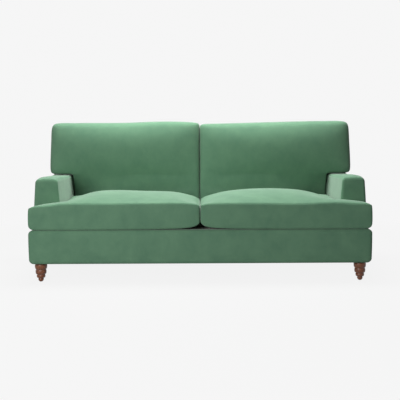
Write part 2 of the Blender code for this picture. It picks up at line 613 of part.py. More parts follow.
def main():
    clear_scene()
    fabric = make_material("green_fabric", (0.10, 0.21, 0.125), 0.9)
    wood = make_material("turned_wood", (0.21, 0.09, 0.045), 0.45)
    timber = make_material("frame_timber", (0.55, 0.40, 0.24), 0.7)
    materials = {
        "steel": make_material("painted_steel", (0.10, 0.105, 0.11), 0.4, 0.6),
        "webbing": make_material("deck_webbing", (0.16, 0.16, 0.17), 0.85),
        "ticking": make_material("mattress_ticking", (0.74, 0.72, 0.67), 0.9),
    }
    add_carcass(fabric, wood, timber)
    add_mounting_rails(materials["steel"])
    lifts = add_lift_arms(materials["steel"])
    head = add_head_section(materials, lifts["front"])
    middle = add_middle_section(materials, head)
    foot = add_foot_section(materials, middle)
    for side, sign in SIDES:
        add_seat_cushion(side, sign, fabric, foot)
        add_back_cushion(side, sign, fabric)


main()
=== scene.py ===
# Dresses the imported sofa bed: velvet covers and cushions, turned legs, quilted mattress and steel bed action
import json
import math

import bmesh
import bpy
import numpy as np
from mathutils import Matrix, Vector


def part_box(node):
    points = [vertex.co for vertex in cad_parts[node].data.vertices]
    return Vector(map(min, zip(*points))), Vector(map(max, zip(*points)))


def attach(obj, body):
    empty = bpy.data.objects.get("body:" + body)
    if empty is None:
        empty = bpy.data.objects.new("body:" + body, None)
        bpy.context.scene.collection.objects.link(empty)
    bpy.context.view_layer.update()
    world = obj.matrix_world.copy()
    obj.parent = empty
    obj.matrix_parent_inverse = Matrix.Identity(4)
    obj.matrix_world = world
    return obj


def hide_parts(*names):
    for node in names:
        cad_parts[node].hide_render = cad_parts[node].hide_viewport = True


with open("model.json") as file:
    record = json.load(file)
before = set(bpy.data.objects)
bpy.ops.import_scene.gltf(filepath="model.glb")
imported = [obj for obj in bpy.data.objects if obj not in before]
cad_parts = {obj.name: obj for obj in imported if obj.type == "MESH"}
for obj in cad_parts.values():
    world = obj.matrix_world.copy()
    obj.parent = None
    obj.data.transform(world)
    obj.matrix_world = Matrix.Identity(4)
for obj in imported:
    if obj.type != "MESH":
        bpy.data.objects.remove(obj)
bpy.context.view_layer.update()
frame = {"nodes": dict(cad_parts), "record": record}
nodes = frame["nodes"]
scene = bpy.context.scene
scene.view_settings.view_transform = "Standard"
print("frame loaded:", len(nodes), "solids")


class Wire:
    # one socket of a node tree; arithmetic on it adds Math nodes
    def __init__(self, maker, socket):
        self.maker = maker
        self.socket = socket

    def __add__(self, other):
        return self.maker.maths("ADD", self, other)

    def __sub__(self, other):
        return self.maker.maths("SUBTRACT", self, other)

    def __mul__(self, other):
        return self.maker.maths("MULTIPLY", self, other)

    def __truediv__(self, other):
        return self.maker.maths("DIVIDE", self, other)

    def __pow__(self, other):
        return self.maker.maths("POWER", self, other)


class Maker:
    # adds nodes to a node tree and wires them up
    def __init__(self, tree):
        self.tree = tree

    def plug(self, target, value):
        for entry in (value if isinstance(value, list) else [value]):
            if isinstance(entry, Wire):
                self.tree.links.new(entry.socket, target)
            else:
                target.default_value = entry

    def node(self, kind, sockets=None, out=0, **settings):
        made = self.tree.nodes.new(kind)
        for name, value in settings.items():
            setattr(made, name, value)
        for key, value in (sockets or {}).items():
            self.plug(made.inputs[key], value)
        return Wire(self, made.outputs[out])

    def maths(self, operation, first, second=0.0):
        return self.node("ShaderNodeMath", {0: first, 1: second}, operation=operation)

    def seenByCamera(self):
        # 1 for what the camera sees itself, in metal or through glass
        path = self.node("ShaderNodeLightPath").socket.node
        direct, mirrored, through = (
            Wire(self, path.outputs[f"Is {kind} Ray"]) for kind in ("Camera", "Glossy", "Transmission"))
        return self.maths("MAXIMUM", self.maths("MAXIMUM", direct, mirrored), through)


def opaque(colour):
    return colour if isinstance(colour, Wire) else (*colour, 1.0)


class Finish(Maker):
    # a material around one Principled shader
    def __init__(self, name):
        self.material = bpy.data.materials.new(name)
        self.material.use_nodes = True
        super().__init__(self.material.node_tree)
        self.shader = self.tree.nodes["Principled BSDF"]

    def place(self, stretch=(1, 1, 1), shift=(0, 0, 0)):
        where = self.node("ShaderNodeTexCoord", out=3)
        return self.node("ShaderNodeMapping", {"Vector": where, "Scale": stretch, "Location": shift})

    def noise(self, where, scale, detail, rough, twist=0.0):
        return self.node("ShaderNodeTexNoise", {
            "Vector": where, "Scale": scale, "Detail": detail, "Roughness": rough, "Distortion": twist})

    def cells(self, where, scale, out=0):
        # 0 gives the distance to the middle of a cell, 1 a colour for each cell
        return self.node("ShaderNodeTexVoronoi", {"Vector": where, "Scale": scale}, out, feature="F1")

    def fade(self, value, low, high, floor=0.0, top=1.0):
        return self.node("ShaderNodeMapRange", {0: value, 1: low, 2: high, 3: floor, 4: top})

    def mix(self, share, first, second):
        sockets = {0: share, 6: opaque(first), 7: opaque(second)}
        return self.node("ShaderNodeMix", sockets, 2, data_type="RGBA")

    def parts(self, where):
        split = self.tree.nodes.new("ShaderNodeSeparateXYZ")
        self.plug(split.inputs[0], where)
        return [Wire(self, split.outputs[axis]) for axis in range(3)]

    def bump(self, height, depth, strength=1.0, under=None):
        sockets = {"Height": height, "Distance": depth, "Strength": strength}
        if under is not None:
            sockets["Normal"] = under
        return self.node("ShaderNodeBump", sockets)

    def paint(self, **sockets):
        for name, value in sockets.items():
            self.plug(self.shader.inputs[name.replace("_", " ")], value)
        return self.material


velvet = {
    "green": (0.117, 0.233, 0.146),
    "shade": (0.102, 0.207, 0.132),
    "pale": (0.134, 0.258, 0.161),
    "cloudScale": 9.0,       # blotches left by the lie of the pile, per metre
    "brushScale": 26.0,      # short strokes where hands brushed the pile
    "threadScale": 420.0,
    "pileScale": 1500.0,
    "sheen": 0.36,
    "sheenRoughness": 0.40,
    "sheenTint": (0.88, 0.98, 0.90, 1.0),
}


def makeVelvet(name):
    f = Finish(name)
    cloud = f.noise(f.place(), velvet["cloudScale"], 4.0, 0.55, 0.4)
    brushed = f.noise(f.place((1.0, 1.0, 0.7)), velvet["brushScale"], 3.0, 0.6)
    across = f.noise(f.place((0.06, 0.06, 1.0)), velvet["threadScale"], 2.0, 0.55)
    along = f.noise(f.place((1.0, 1.0, 0.06)), velvet["threadScale"], 2.0, 0.55)
    pile = f.noise(f.place(), velvet["pileScale"], 2.0, 0.6)
    weave = across * 0.5 + along * 0.5
    tone = f.fade(cloud * 0.7 + brushed * 0.3, 0.36, 0.64)
    colour = f.mix(tone, velvet["shade"], velvet["pale"])
    colour = f.mix(f.fade(weave, 0.35, 0.65, 0.0, 0.45), colour, velvet["green"])
    colour = f.mix(f.fade(pile, 0.3, 0.75, 0.0, 0.16), colour, velvet["shade"])
    normal = f.bump(weave * 0.6 + pile * 0.4, 0.0006, 0.35, f.bump(brushed, 0.0025, 0.12))
    return f.paint(Base_Color=colour, Roughness=f.fade(tone, 0.0, 1.0, 0.92, 0.82), Normal=normal,
                   Sheen_Weight=velvet["sheen"], Sheen_Roughness=velvet["sheenRoughness"],
                   Sheen_Tint=velvet["sheenTint"], Specular_IOR_Level=0.0)


stainedBeech = {"light": (0.235, 0.080, 0.031), "mid": (0.138, 0.042, 0.016), "dark": (0.034, 0.011, 0.005)}


def makeStainedBeech(name):
    f = Finish(name)
    grain = f.noise(f.place((1.0, 1.0, 0.12)), 90.0, 5.0, 0.6, 0.8)
    pores = f.noise(f.place((1.0, 1.0, 0.05)), 620.0, 2.0, 0.5)
    rings = f.node("ShaderNodeTexWave", {
        "Vector": f.place((1.0, 1.0, 0.2), (0.02, 0.013, 0.0)), "Scale": 55.0, "Distortion": 3.5,
        "Detail": 2.0, "Detail Scale": 1.5}, 1, wave_type="RINGS", rings_direction="Z")
    # painted shade read from the legs' rings: darker in the necks between beads, at the top rim and at the
    # foot
    groove = f.node("ShaderNodeAttribute", None, 2, attribute_name="groove")
    colour = f.mix(f.fade(grain * 0.65 + rings * 0.35, 0.3, 0.7), stainedBeech["mid"], stainedBeech["light"])
    colour = f.mix(f.fade(pores, 0.55, 0.72, 0.0, 0.6), colour, stainedBeech["dark"])
    colour = f.mix(groove * 0.8, colour, stainedBeech["dark"])      # painted shade between the beads
    return f.paint(Base_Color=colour, Roughness=f.fade(pores, 0.3, 0.7, 0.34, 0.5),
                   Normal=f.bump(pores, 0.0004, 0.25), Coat_Weight=0.2, Coat_Roughness=0.28,
                   Specular_IOR_Level=0.35)


frameTimber = {
    "pale": (0.63, 0.47, 0.29),
    "warm": (0.43, 0.29, 0.165),
    "fibre": (0.33, 0.21, 0.11),
    "knot": (0.17, 0.085, 0.04),
}


def makeFrameTimber(name):
    f = Finish(name)
    grain = f.noise(f.place((0.06, 1.0, 1.0)), 60.0, 5.0, 0.62, 1.2)
    fine = f.noise(f.place((0.03, 1.0, 1.0)), 420.0, 3.0, 0.6)
    knots = f.cells(f.place((0.5, 1.0, 1.0)), 4.0)
    colour = f.mix(f.fade(grain, 0.32, 0.68), frameTimber["warm"], frameTimber["pale"])
    colour = f.mix(f.fade(fine, 0.5, 0.75, 0.0, 0.5), colour, frameTimber["fibre"])
    colour = f.mix(f.fade(knots, 0.03, 0.11, 0.75, 0.0), colour, frameTimber["knot"])
    return f.paint(Base_Color=colour, Roughness=f.fade(fine, 0.3, 0.7, 0.62, 0.8),
                   Normal=f.bump(fine, 0.0006, 0.3), Specular_IOR_Level=0.35)


powderCoat = {"dark": (0.030, 0.032, 0.035), "light": (0.055, 0.0584, 0.0635), "worn": (0.13, 0.13, 0.135)}


def makePowderCoat(name):
    f = Finish(name)
    ripple = f.noise(f.place(), 900.0, 2.0, 0.5)
    patch = f.noise(f.place(), 14.0, 4.0, 0.6)
    rub = f.noise(f.place((0.25, 1.0, 1.0)), 120.0, 4.0, 0.65)
    worn = f.fade(rub * 0.7 + patch * 0.3, 0.60, 0.72, 0.0, 0.5)
    base = f.mix(f.fade(patch, 0.35, 0.65), powderCoat["dark"], powderCoat["light"])
    base = f.mix(worn, base, powderCoat["worn"])
    return f.paint(Base_Color=base, Roughness=f.fade(patch + worn * 0.5, 0.3, 0.9, 0.36, 0.52),
                   Metallic=worn * 0.6, Normal=f.bump(ripple, 0.0003, 0.3))


zincPlate = {"dull": (0.50, 0.51, 0.53), "bright": (0.66, 0.66, 0.65), "tarnish": (0.36, 0.33, 0.27)}


def makeZinc(name):
    f = Finish(name)
    tone = f.node("ShaderNodeRGBToBW", {0: f.cells(f.place(), 260.0, 1)})
    tarnish = f.noise(f.place(), 45.0, 4.0, 0.6)
    base = f.mix(tone, zincPlate["dull"], zincPlate["bright"])
    base = f.mix(f.fade(tarnish, 0.5, 0.75, 0.0, 0.5), base, zincPlate["tarnish"])
    return f.paint(Base_Color=base, Metallic=0.95, Roughness=f.fade(tone + tarnish, 0.5, 1.4, 0.28, 0.48))


webbing = {
    "pitch": 0.0042,
    "tone": (0.055, 0.056, 0.060),
    "bright": (0.145, 0.147, 0.155),
    "soil": (0.09, 0.085, 0.075),
}


def makeDeckWebbing(name):
    f = Finish(name)
    x, y, z = f.parts(f.place())
    wave = 2 * math.pi / webbing["pitch"]
    basket = f.maths("SINE", x * wave) * f.maths("SINE", y * wave) * 0.5 + 0.5
    slub = f.noise(f.place((1.0, 0.08, 1.0)), 160.0, 3.0, 0.6)
    soil = f.noise(f.place(), 7.0, 4.0, 0.6)
    base = f.mix(f.fade(basket * 0.7 + slub * 0.3, 0.25, 0.75), webbing["tone"], webbing["bright"])
    base = f.mix(f.fade(soil, 0.5, 0.7, 0.0, 0.25), base, webbing["soil"])
    return f.paint(Base_Color=base, Roughness=f.fade(slub, 0.3, 0.7, 0.6, 0.8),
                   Normal=f.bump(basket, 0.0012, 0.6))


ticking = {
    "cream": (0.37, 0.35, 0.305),
    "white": (0.46, 0.44, 0.395),
    "stripe": (0.120, 0.150, 0.172),
    "aged": (0.31, 0.27, 0.205),
    "stripePitch": 0.042,
    "pairPlace": 0.095,      # of the narrow stripes beside the wide one, as a share of the pitch
    "offset": 50.0,          # pitches, keeps the count positive
    "twill": 3900.0,
}


def makeTicking(name):
    f = Finish(name)
    x, y, z = f.parts(f.place())
    turn = f.maths("FRACT", x / ticking["stripePitch"] + ticking["offset"])
    middle = f.maths("ABSOLUTE", turn - 0.5)
    wide = f.fade(middle, 0.030, 0.045, 1.0, 0.0)
    narrow = f.fade(f.maths("ABSOLUTE", middle - ticking["pairPlace"]), 0.010, 0.020, 1.0, 0.0)
    stripes = f.maths("MAXIMUM", wide, narrow * 0.8)
    twill = f.maths("SINE", (x + y + z * 0.5) * ticking["twill"])
    fluff = f.noise(f.place(), 700.0, 2.0, 0.55)
    age = f.noise(f.place(), 4.5, 4.0, 0.6)
    base = f.mix(f.fade(fluff, 0.3, 0.7), ticking["cream"], ticking["white"])
    base = f.mix(stripes * f.fade(fluff, 0.2, 0.6, 0.55, 0.95), base, ticking["stripe"])
    base = f.mix(f.fade(age, 0.45, 0.75, 0.0, 0.22), base, ticking["aged"])
    return f.paint(Base_Color=base, Roughness=f.fade(fluff, 0.3, 0.7, 0.82, 0.94),
                   Normal=f.bump(twill * 0.3 + fluff * 0.7, 0.0006, 0.3),
                   Sheen_Weight=0.12, Sheen_Roughness=0.5, Specular_IOR_Level=0.25)


cambric = {"dark": (0.016, 0.016, 0.017), "light": (0.0416, 0.0416, 0.0442)}


def makeCambric(name):
    f = Finish(name)
    dots = f.cells(f.place(), 520.0)
    felt = f.noise(f.place(), 230.0, 4.0, 0.65)
    base = f.mix(f.fade(felt, 0.3, 0.7), cambric["dark"], cambric["light"])
    return f.paint(Base_Color=base, Roughness=f.fade(felt, 0.3, 0.7, 0.8, 0.95),
                   Normal=f.bump(f.fade(dots, 0.0, 0.5), 0.0005, 0.5))


footRubber = {"clean": (0.018, 0.018, 0.018), "dusty": (0.050, 0.049, 0.047)}


def makeRubber(name):
    f = Finish(name)
    dust = f.noise(f.place(), 160.0, 4.0, 0.6)
    base = f.mix(f.fade(dust, 0.4, 0.7), footRubber["clean"], footRubber["dusty"])
    return f.paint(Base_Color=base, Roughness=f.fade(dust, 0.3, 0.7, 0.6, 0.85),
                   Normal=f.bump(dust, 0.0004, 0.3))


def makeThread(name, colour, twist):
    f = Finish(name)
    x, y, z = f.parts(f.place())
    ply = f.maths("SINE", (x + y + z) * twist)
    fuzz = f.noise(f.place(), 1300.0, 2.0, 0.6)
    base = f.mix(f.fade(ply * 0.3 + fuzz, 0.2, 0.9), [c * 0.72 for c in colour], colour)
    return f.paint(Base_Color=base, Roughness=f.fade(fuzz, 0.3, 0.7, 0.7, 0.9),
                   Normal=f.bump(ply, 0.0003, 0.4), Specular_IOR_Level=0.3)


finishes = {
    "velvet": makeVelvet("greenVelvet"),
    "beech": makeStainedBeech("stainedBeech"),
    "timber": makeFrameTimber("frameTimber"),
    "powderCoat": makePowderCoat("charcoalPowderCoat"),
    "zinc": makeZinc("zincPlate"),
    "webbing": makeDeckWebbing("deckWebbing"),
    "ticking": makeTicking("mattressTicking"),
    "cambric": makeCambric("blackCambric"),
    "rubber": makeRubber("footRubber"),
    "greenThread": makeThread("greenThread", (0.150, 0.300, 0.190), 2600.0),
    "bindingTape": makeThread("bindingTape", (0.150, 0.185, 0.210), 1500.0),
}
slotFinish = {
    "upholstery": "velvet", "turned_wood": "beech", "timber": "timber", "painted_steel": "powderCoat",
    "plated_steel": "zinc", "webbing": "webbing", "ticking": "ticking",
}
for part in frame["record"]["subparts"]:
    solid = nodes[part["node"]]
    solid.data.materials.clear()
    solid.data.materials.append(finishes[slotFinish[part["material_slot"]]])
print("finishes made:", len(finishes))


def edgeSteps(low, high, radius, cell, turns):
    # places along one axis: fine where the edge is round, even between
    bend = [radius * (1 - math.tan(math.pi / 4 * i / turns)) for i in range(turns, 0, -1)]
    count = max(1, round((high - low - 2 * radius) / cell))
    even = [low + radius + (high - low - 2 * radius) * i / count for i in range(count + 1)]
    return [low + b for b in bend] + even + [high - b for b in reversed(bend)]


def roundBox(point, low, high, radii):
    # moves a point near the edges of a box onto its rounded skin
    inner = [min(max(p, l + r), h - r) for p, l, h, r in zip(point, low, high, radii)]
    off = [(p - i) / r for p, i, r in zip(point, inner, radii)]
    length = math.sqrt(sum(o * o for o in off))
    if length < 1e-9:
        return list(point)
    scale = max(abs(o) for o in off) / length
    return [i + o * r * scale for i, o, r in zip(inner, off, radii)]


def softStep(value, low, high):
    share = min(max((value - low) / (high - low), 0.0), 1.0)
    return share * share * (3 - 2 * share)


def latticeSkin(steps, place, keep=None, pinned=None):
    # outer skin of the kept cells of a lattice; pinned gives each corner's hold on its seam
    shape = bmesh.new()
    hold = shape.verts.layers.deform.verify()
    counts = [len(step) - 1 for step in steps]
    middles = [[(a + b) / 2 for a, b in zip(step, step[1:])] for step in steps]
    kept = {}
    verts = {}

    def isKept(cell):
        if cell not in kept:
            inside = all(0 <= cell[a] < counts[a] for a in range(3))
            kept[cell] = inside and (keep is None or keep(*(middles[a][cell[a]] for a in range(3))))
        return kept[cell]

    def vert(index):
        if index not in verts:
            spot = [steps[a][index[a]] for a in range(3)]
            verts[index] = shape.verts.new(place(*spot))
            if pinned:
                verts[index][hold][0] = pinned(*spot)
        return verts[index]

    for cell in ((i, j, k) for i in range(counts[0]) for j in range(counts[1]) for k in range(counts[2])):
        if not isKept(cell):
            continue
        for axis in range(3):
            for side in (0, 1):
                beside = list(cell)
                beside[axis] += 2 * side - 1
                if isKept(tuple(beside)):
                    continue
                first, second = [a for a in range(3) if a != axis]
                loop = []
                for du, dv in ((0, 0), (1, 0), (1, 1), (0, 1)):
                    corner = list(cell)
                    corner[axis] += side
                    corner[first] += du
                    corner[second] += dv
                    loop.append(vert(tuple(corner)))
                shape.faces.new(loop)
    bmesh.ops.recalc_face_normals(shape, faces=shape.faces)
    return shape


def ringSkin(shape, rings, sides, axis=2, centre=(0.0, 0.0, 0.0)):
    # adds a closed skin through (radius, place along the axis) rings
    loops = []
    for radius, along in rings:
        loop = []
        for i in range(sides):
            angle = 2 * math.pi * i / sides
            spot = Vector(centre)
            spot[axis] += along
            spot[axis - 2] += radius * math.cos(angle)
            spot[axis - 1] += radius * math.sin(angle)
            loop.append(shape.verts.new(spot))
        loops.append(loop)
    for first, second in zip(loops, loops[1:]):
        for i in range(sides):
            j = (i + 1) % sides
            shape.faces.new((first[i], first[j], second[j], second[i]))
    shape.faces.new(loops[0])
    shape.faces.new(loops[-1])
    bmesh.ops.recalc_face_normals(shape, faces=shape.faces)
    return loops


def linkPiece(name, shape, finishNames, pickFinish=None):
    mesh = bpy.data.meshes.new(name)
    for finish in finishNames:
        mesh.materials.append(finishes[finish])
    for face in shape.faces:
        face.smooth = True
        if pickFinish:
            face.material_index = pickFinish(face)
    shape.to_mesh(mesh)
    shape.free()
    piece = bpy.data.objects.new(name, mesh)
    scene.collection.objects.link(piece)
    return piece


def boxPiece(name, finish, low, high, settings, bend=None):
    # a box with round edges, whose points bend then moves into the final shape
    radii = settings["radii"]

    def place(x, y, z):
        spot = roundBox((x, y, z), low, high, radii)
        return bend(*spot) if bend else spot

    steps = [edgeSteps(low[a], high[a], radii[a], settings["cell"], settings["turns"]) for a in range(3)]
    return linkPiece(name, latticeSkin(steps, place), (finish,))


def settle(piece, body, slot, *replaced):
    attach(piece, body)
    if replaced:
        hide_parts(*replaced)


def subdivide(piece, levels):
    rounding = piece.modifiers.new("rounding", "SUBSURF")
    rounding.levels = rounding.render_levels = levels


def applied(piece):
    # turns a piece with its modifiers into a plain mesh
    bpy.context.view_layer.update()
    mesh = bpy.data.meshes.new_from_object(piece.evaluated_get(bpy.context.evaluated_depsgraph_get()))
    old = piece.data
    piece.modifiers.clear()
    piece.data = mesh
    name = old.name
    bpy.data.meshes.remove(old)
    mesh.name = name


baseCover = {
    "radii": (0.028, 0.013, 0.026),
    "cell": 0.05,
    "turns": 5,              # steps round each edge
    "railWidth": 0.045,      # front and rear
    "sideWidth": 0.14,
    "frontBelly": 0.0015,    # padding over the middle of the front
    "sideTaper": 0.006,      # ends draw in towards the floor
    "slack": (0.002, 0.0005),    # for telling the well's walls and the underside
}


def makeBaseCover():
    s = baseCover
    radii = s["radii"]
    low = Vector((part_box("left_base_side")[0].x, *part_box("front_rail")[0][1:]))
    high = Vector((*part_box("right_base_side")[1][:2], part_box("front_rail")[1].z))
    insideX = high.x - s["sideWidth"]
    insideY = (low.y + s["railWidth"], high.y - s["railWidth"])
    steps = [edgeSteps(low[a], high[a], radii[a], s["cell"], s["turns"]) for a in range(3)]
    steps[0] = sorted(set(steps[0] + [-insideX, insideX]))
    steps[1] = sorted(set(steps[1] + list(insideY)))

    def inWell(x, y, slack=0.0):
        return abs(x) < insideX + slack and insideY[0] - slack < y < insideY[1] + slack

    def place(x, y, z):
        spot = roundBox((x, y, z), low, high, radii)
        rise = (z - low.z) / (high.z - low.z)
        if y == low.y:
            spot[1] -= s["frontBelly"] * 4 * rise * (1 - rise)
        taper = s["sideTaper"] * (1 - rise) ** 2 * softStep(abs(x), insideX, high.x)
        spot[0] -= math.copysign(taper, x)
        return spot

    def pickFinish(face):
        spot = face.calc_center_median()
        if inWell(spot.x, spot.y, s["slack"][0]):
            return 1
        return 2 if spot.z < low.z + s["slack"][1] else 0

    shape = latticeSkin(steps, place, lambda x, y, z: not inWell(x, y))
    piece = linkPiece("baseCover", shape, ("velvet", "timber", "cambric"), pickFinish)
    piece.data.set_sharp_from_angle(angle=math.radians(50))
    settle(piece, "carcass", "upholstery", "front_rail", "left_base_side", "right_base_side", "rear_rail")


backLean = math.tan(math.radians(5))     # of the back panel's front, which the arms and back cushions follow
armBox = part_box("right_arm")
armCover = {
    "radii": (0.019, 0.013, 0.019),
    "cell": 0.04,
    "turns": 5,
    "blockWidth": 0.150,
    "rearGap": 0.0005,
    "outerGrow": 0.004,
    "outerLean": 0.012,
    "outerBelly": 0.002,
    "innerGrow": 0.003,
    "innerLean": 0.013,      # the inner face is upright below the seat's top and leans out above it
    "leanStart": 0.4,        # share of the height
    "topCrown": {"left": 0.021, "right": 0.024},      # padding over the front half of the arm
    "crownRise": (-0.12, 0.10),      # where it starts and ends, as shares of the depth
    "crownFall": (0.14, 0.72),
}


def armInnerAt(z):
    start = armCover["leanStart"]
    share = np.clip(((z - armBox[0].z) / (armBox[1].z - armBox[0].z) - start) / (1 - start), 0.0, 1.0)
    return armBox[0].x - armCover["innerGrow"] + armCover["innerLean"] * share * share * (3 - 2 * share)


def makeArmCover(side, sign):
    s = armCover
    low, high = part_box(f"{side}_arm")
    tall = high.z - low.z
    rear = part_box("back_panel")[0].y - s["rearGap"]
    outer = max(abs(low.x), abs(high.x)) + s["outerGrow"]

    def bend(across, y, z):
        rise = min(max((z - low.z) / tall, 0.0), 1.0)
        share = across / s["blockWidth"]
        along = (y - low.y) / (rear - low.y)
        inside = float(armInnerAt(z))
        outside = outer - s["outerLean"] * rise + s["outerBelly"] * math.sin(math.pi * rise)
        full = softStep(along, *s["crownRise"]) * (1 - softStep(along, *s["crownFall"]))
        crown = s["topCrown"][side] * full * rise ** 4 * (1 - 0.5 * (2 * share - 1) ** 2)
        return sign * (inside + (outside - inside) * share), y + rise * tall * backLean * along, z + crown

    block = (0.0, low.y, low.z), (s["blockWidth"], rear, high.z)
    settle(boxPiece(f"{side}ArmCover", "velvet", *block, s, bend), "carcass", "upholstery", f"{side}_arm")


backCover = {"radii": (0.020, 0.014, 0.020), "cell": 0.05, "turns": 5, "rearBelly": 0.003}
ledgeCover = {"radii": (0.012, 0.012, 0.008), "cell": 0.05, "turns": 4}


def makeBackCover():
    low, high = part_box("back_panel")

    def bend(x, y, z):
        rise = (z - low.z) / (high.z - low.z)
        front = (high.y - y) / (high.y - low.y)
        swell = backCover["rearBelly"] * (1 - front) * math.sin(math.pi * min(max(rise, 0), 1))
        return x, y + front * (z - low.z) * backLean + swell, z

    settle(boxPiece("backCover", "velvet", low, high, backCover, bend), "carcass", "upholstery", "back_panel")


def makeLedgeCover():
    piece = boxPiece("ledgeCover", "velvet", *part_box("back_cushion_ledge"), ledgeCover)
    settle(piece, "carcass", "upholstery", "back_cushion_ledge")


makeBaseCover()
makeLedgeCover()
for side, sign in (("left", -1), ("right", 1)):
    makeArmCover(side, sign)
makeBackCover()
print("covers on the base, arms and back")


def dome(value, low, high):
    share = min(max((value - low) / (high - low), 0.0), 1.0)
    return 4 * share * (1 - share)


def curveThrough(points, value):
    # smooth height through (place, height) points
    places, heights = (np.array(row) for row in zip(*points))
    slopes = np.gradient(heights, places)
    value = min(max(value, places[0]), places[-1])
    i = min(int(np.searchsorted(places, value, "right")) - 1, len(places) - 2)
    wide = places[i + 1] - places[i]
    t = (value - places[i]) / wide
    start = (1 + 2 * t) * heights[i] + t * wide * slopes[i]
    end = (3 - 2 * t) * heights[i + 1] - (1 - t) * wide * slopes[i + 1]
    return float((1 - t) ** 2 * start + t ** 2 * end)


def evenly(low, high, count):
    return [low + (high - low) * i / count for i in range(count + 1)]


def spread(low, high, edge, cell, lastEdge=None):
    # cage places: a tight loop at each end, even cells between
    lastEdge = lastEdge or edge
    between = high - low - edge - lastEdge
    count = max(1, round(between / cell))
    return [low] + [low + edge + between * i / count for i in range(count + 1)] + [high]


farOff = 9.0             # stands for a side of a box that has no rounding
fillingFrames = 20
cageSlack = 0.004        # points this far past a corner of the cage belong to the ear
seatCushion = {
    "edge": 0.030,
    "frontEdge": 0.015,     # the seam along the front of the top is sharper
    "cell": 0.046,
    "border": 0.153,        # height of the sides before the filling swells them
    "drawIn": 0.006,        # seams lie this far inside the belly of the border
    "grow": {"outer": 0.010, "front": 0.003},       # past the solid
    "gap": {"middle": 0.0025, "arm": 0.005, "ear": 0.007, "rear": 0.004, "base": 0.0001},   # of the cage
    "room": {"middle": 0.0009, "arm": 0.002, "ear": 0.003, "outer": 0.002, "front": 0.006},   # when swollen
    "crown": 0.046,         # before the filling swells it
    "crownRound": 0.85,
    "endRound": 0.022,      # rounding of the outer end, seen from the front
    "earFade": 0.11,        # the ear's own crown runs into the seat over this depth
    "earReach": (0.30, 0.02),        # and from here to here beside the arm
    "earBlend": (0.05, 0.03),
    "cornerLift": (0.019, 0.014),    # lower inner corner pulls up off the base: sharply, and in a long curve
    "cornerReach": (0.02, 0.15),
    "cornerDrop": 0.007,             # and the upper inner corner sinks
    "rearSink": (0.024, 0.07),       # so does the inner edge towards the back: depth and reach
    "leanFrom": 0.5,        # from here outwards the side follows the arm's lean
    "leanDepth": (0.01, 0.05),
    "cap": 0.024,
    "crease": 0.0024,       # seams sink this far into the filling
    "stuffing": {"pressure": 4.0, "tension": 18.0, "bending": 0.8},
    "left": {"ear": 0.018, "seamLine": (
        (0.0, 0.004), (0.10, 0.007), (0.35, 0.007), (0.60, 0.003), (0.85, -0.004), (1.0, -0.011)), "crown": (
        (0.0, -0.36), (0.04, 0.06), (0.11, 0.48), (0.235, 0.63), (0.41, 0.66), (0.58, 0.94), (0.71, 1.02),
        (0.79, 0.93), (0.86, 0.50), (0.925, -0.08), (1.0, -0.30))},
    "right": {"ear": 0.024, "seamLine": (
        (0.0, 0.004), (0.10, 0.005), (0.35, 0.003), (0.60, -0.002), (0.85, -0.002), (1.0, 0.001)), "crown": (
        (0.0, -0.36), (0.03, -0.04), (0.084, 0.44), (0.17, 0.71), (0.345, 1.10), (0.45, 1.22), (0.60, 1.26),
        (0.70, 1.19), (0.785, 0.95), (0.86, 0.52), (0.925, -0.03), (1.0, -0.18))},
}


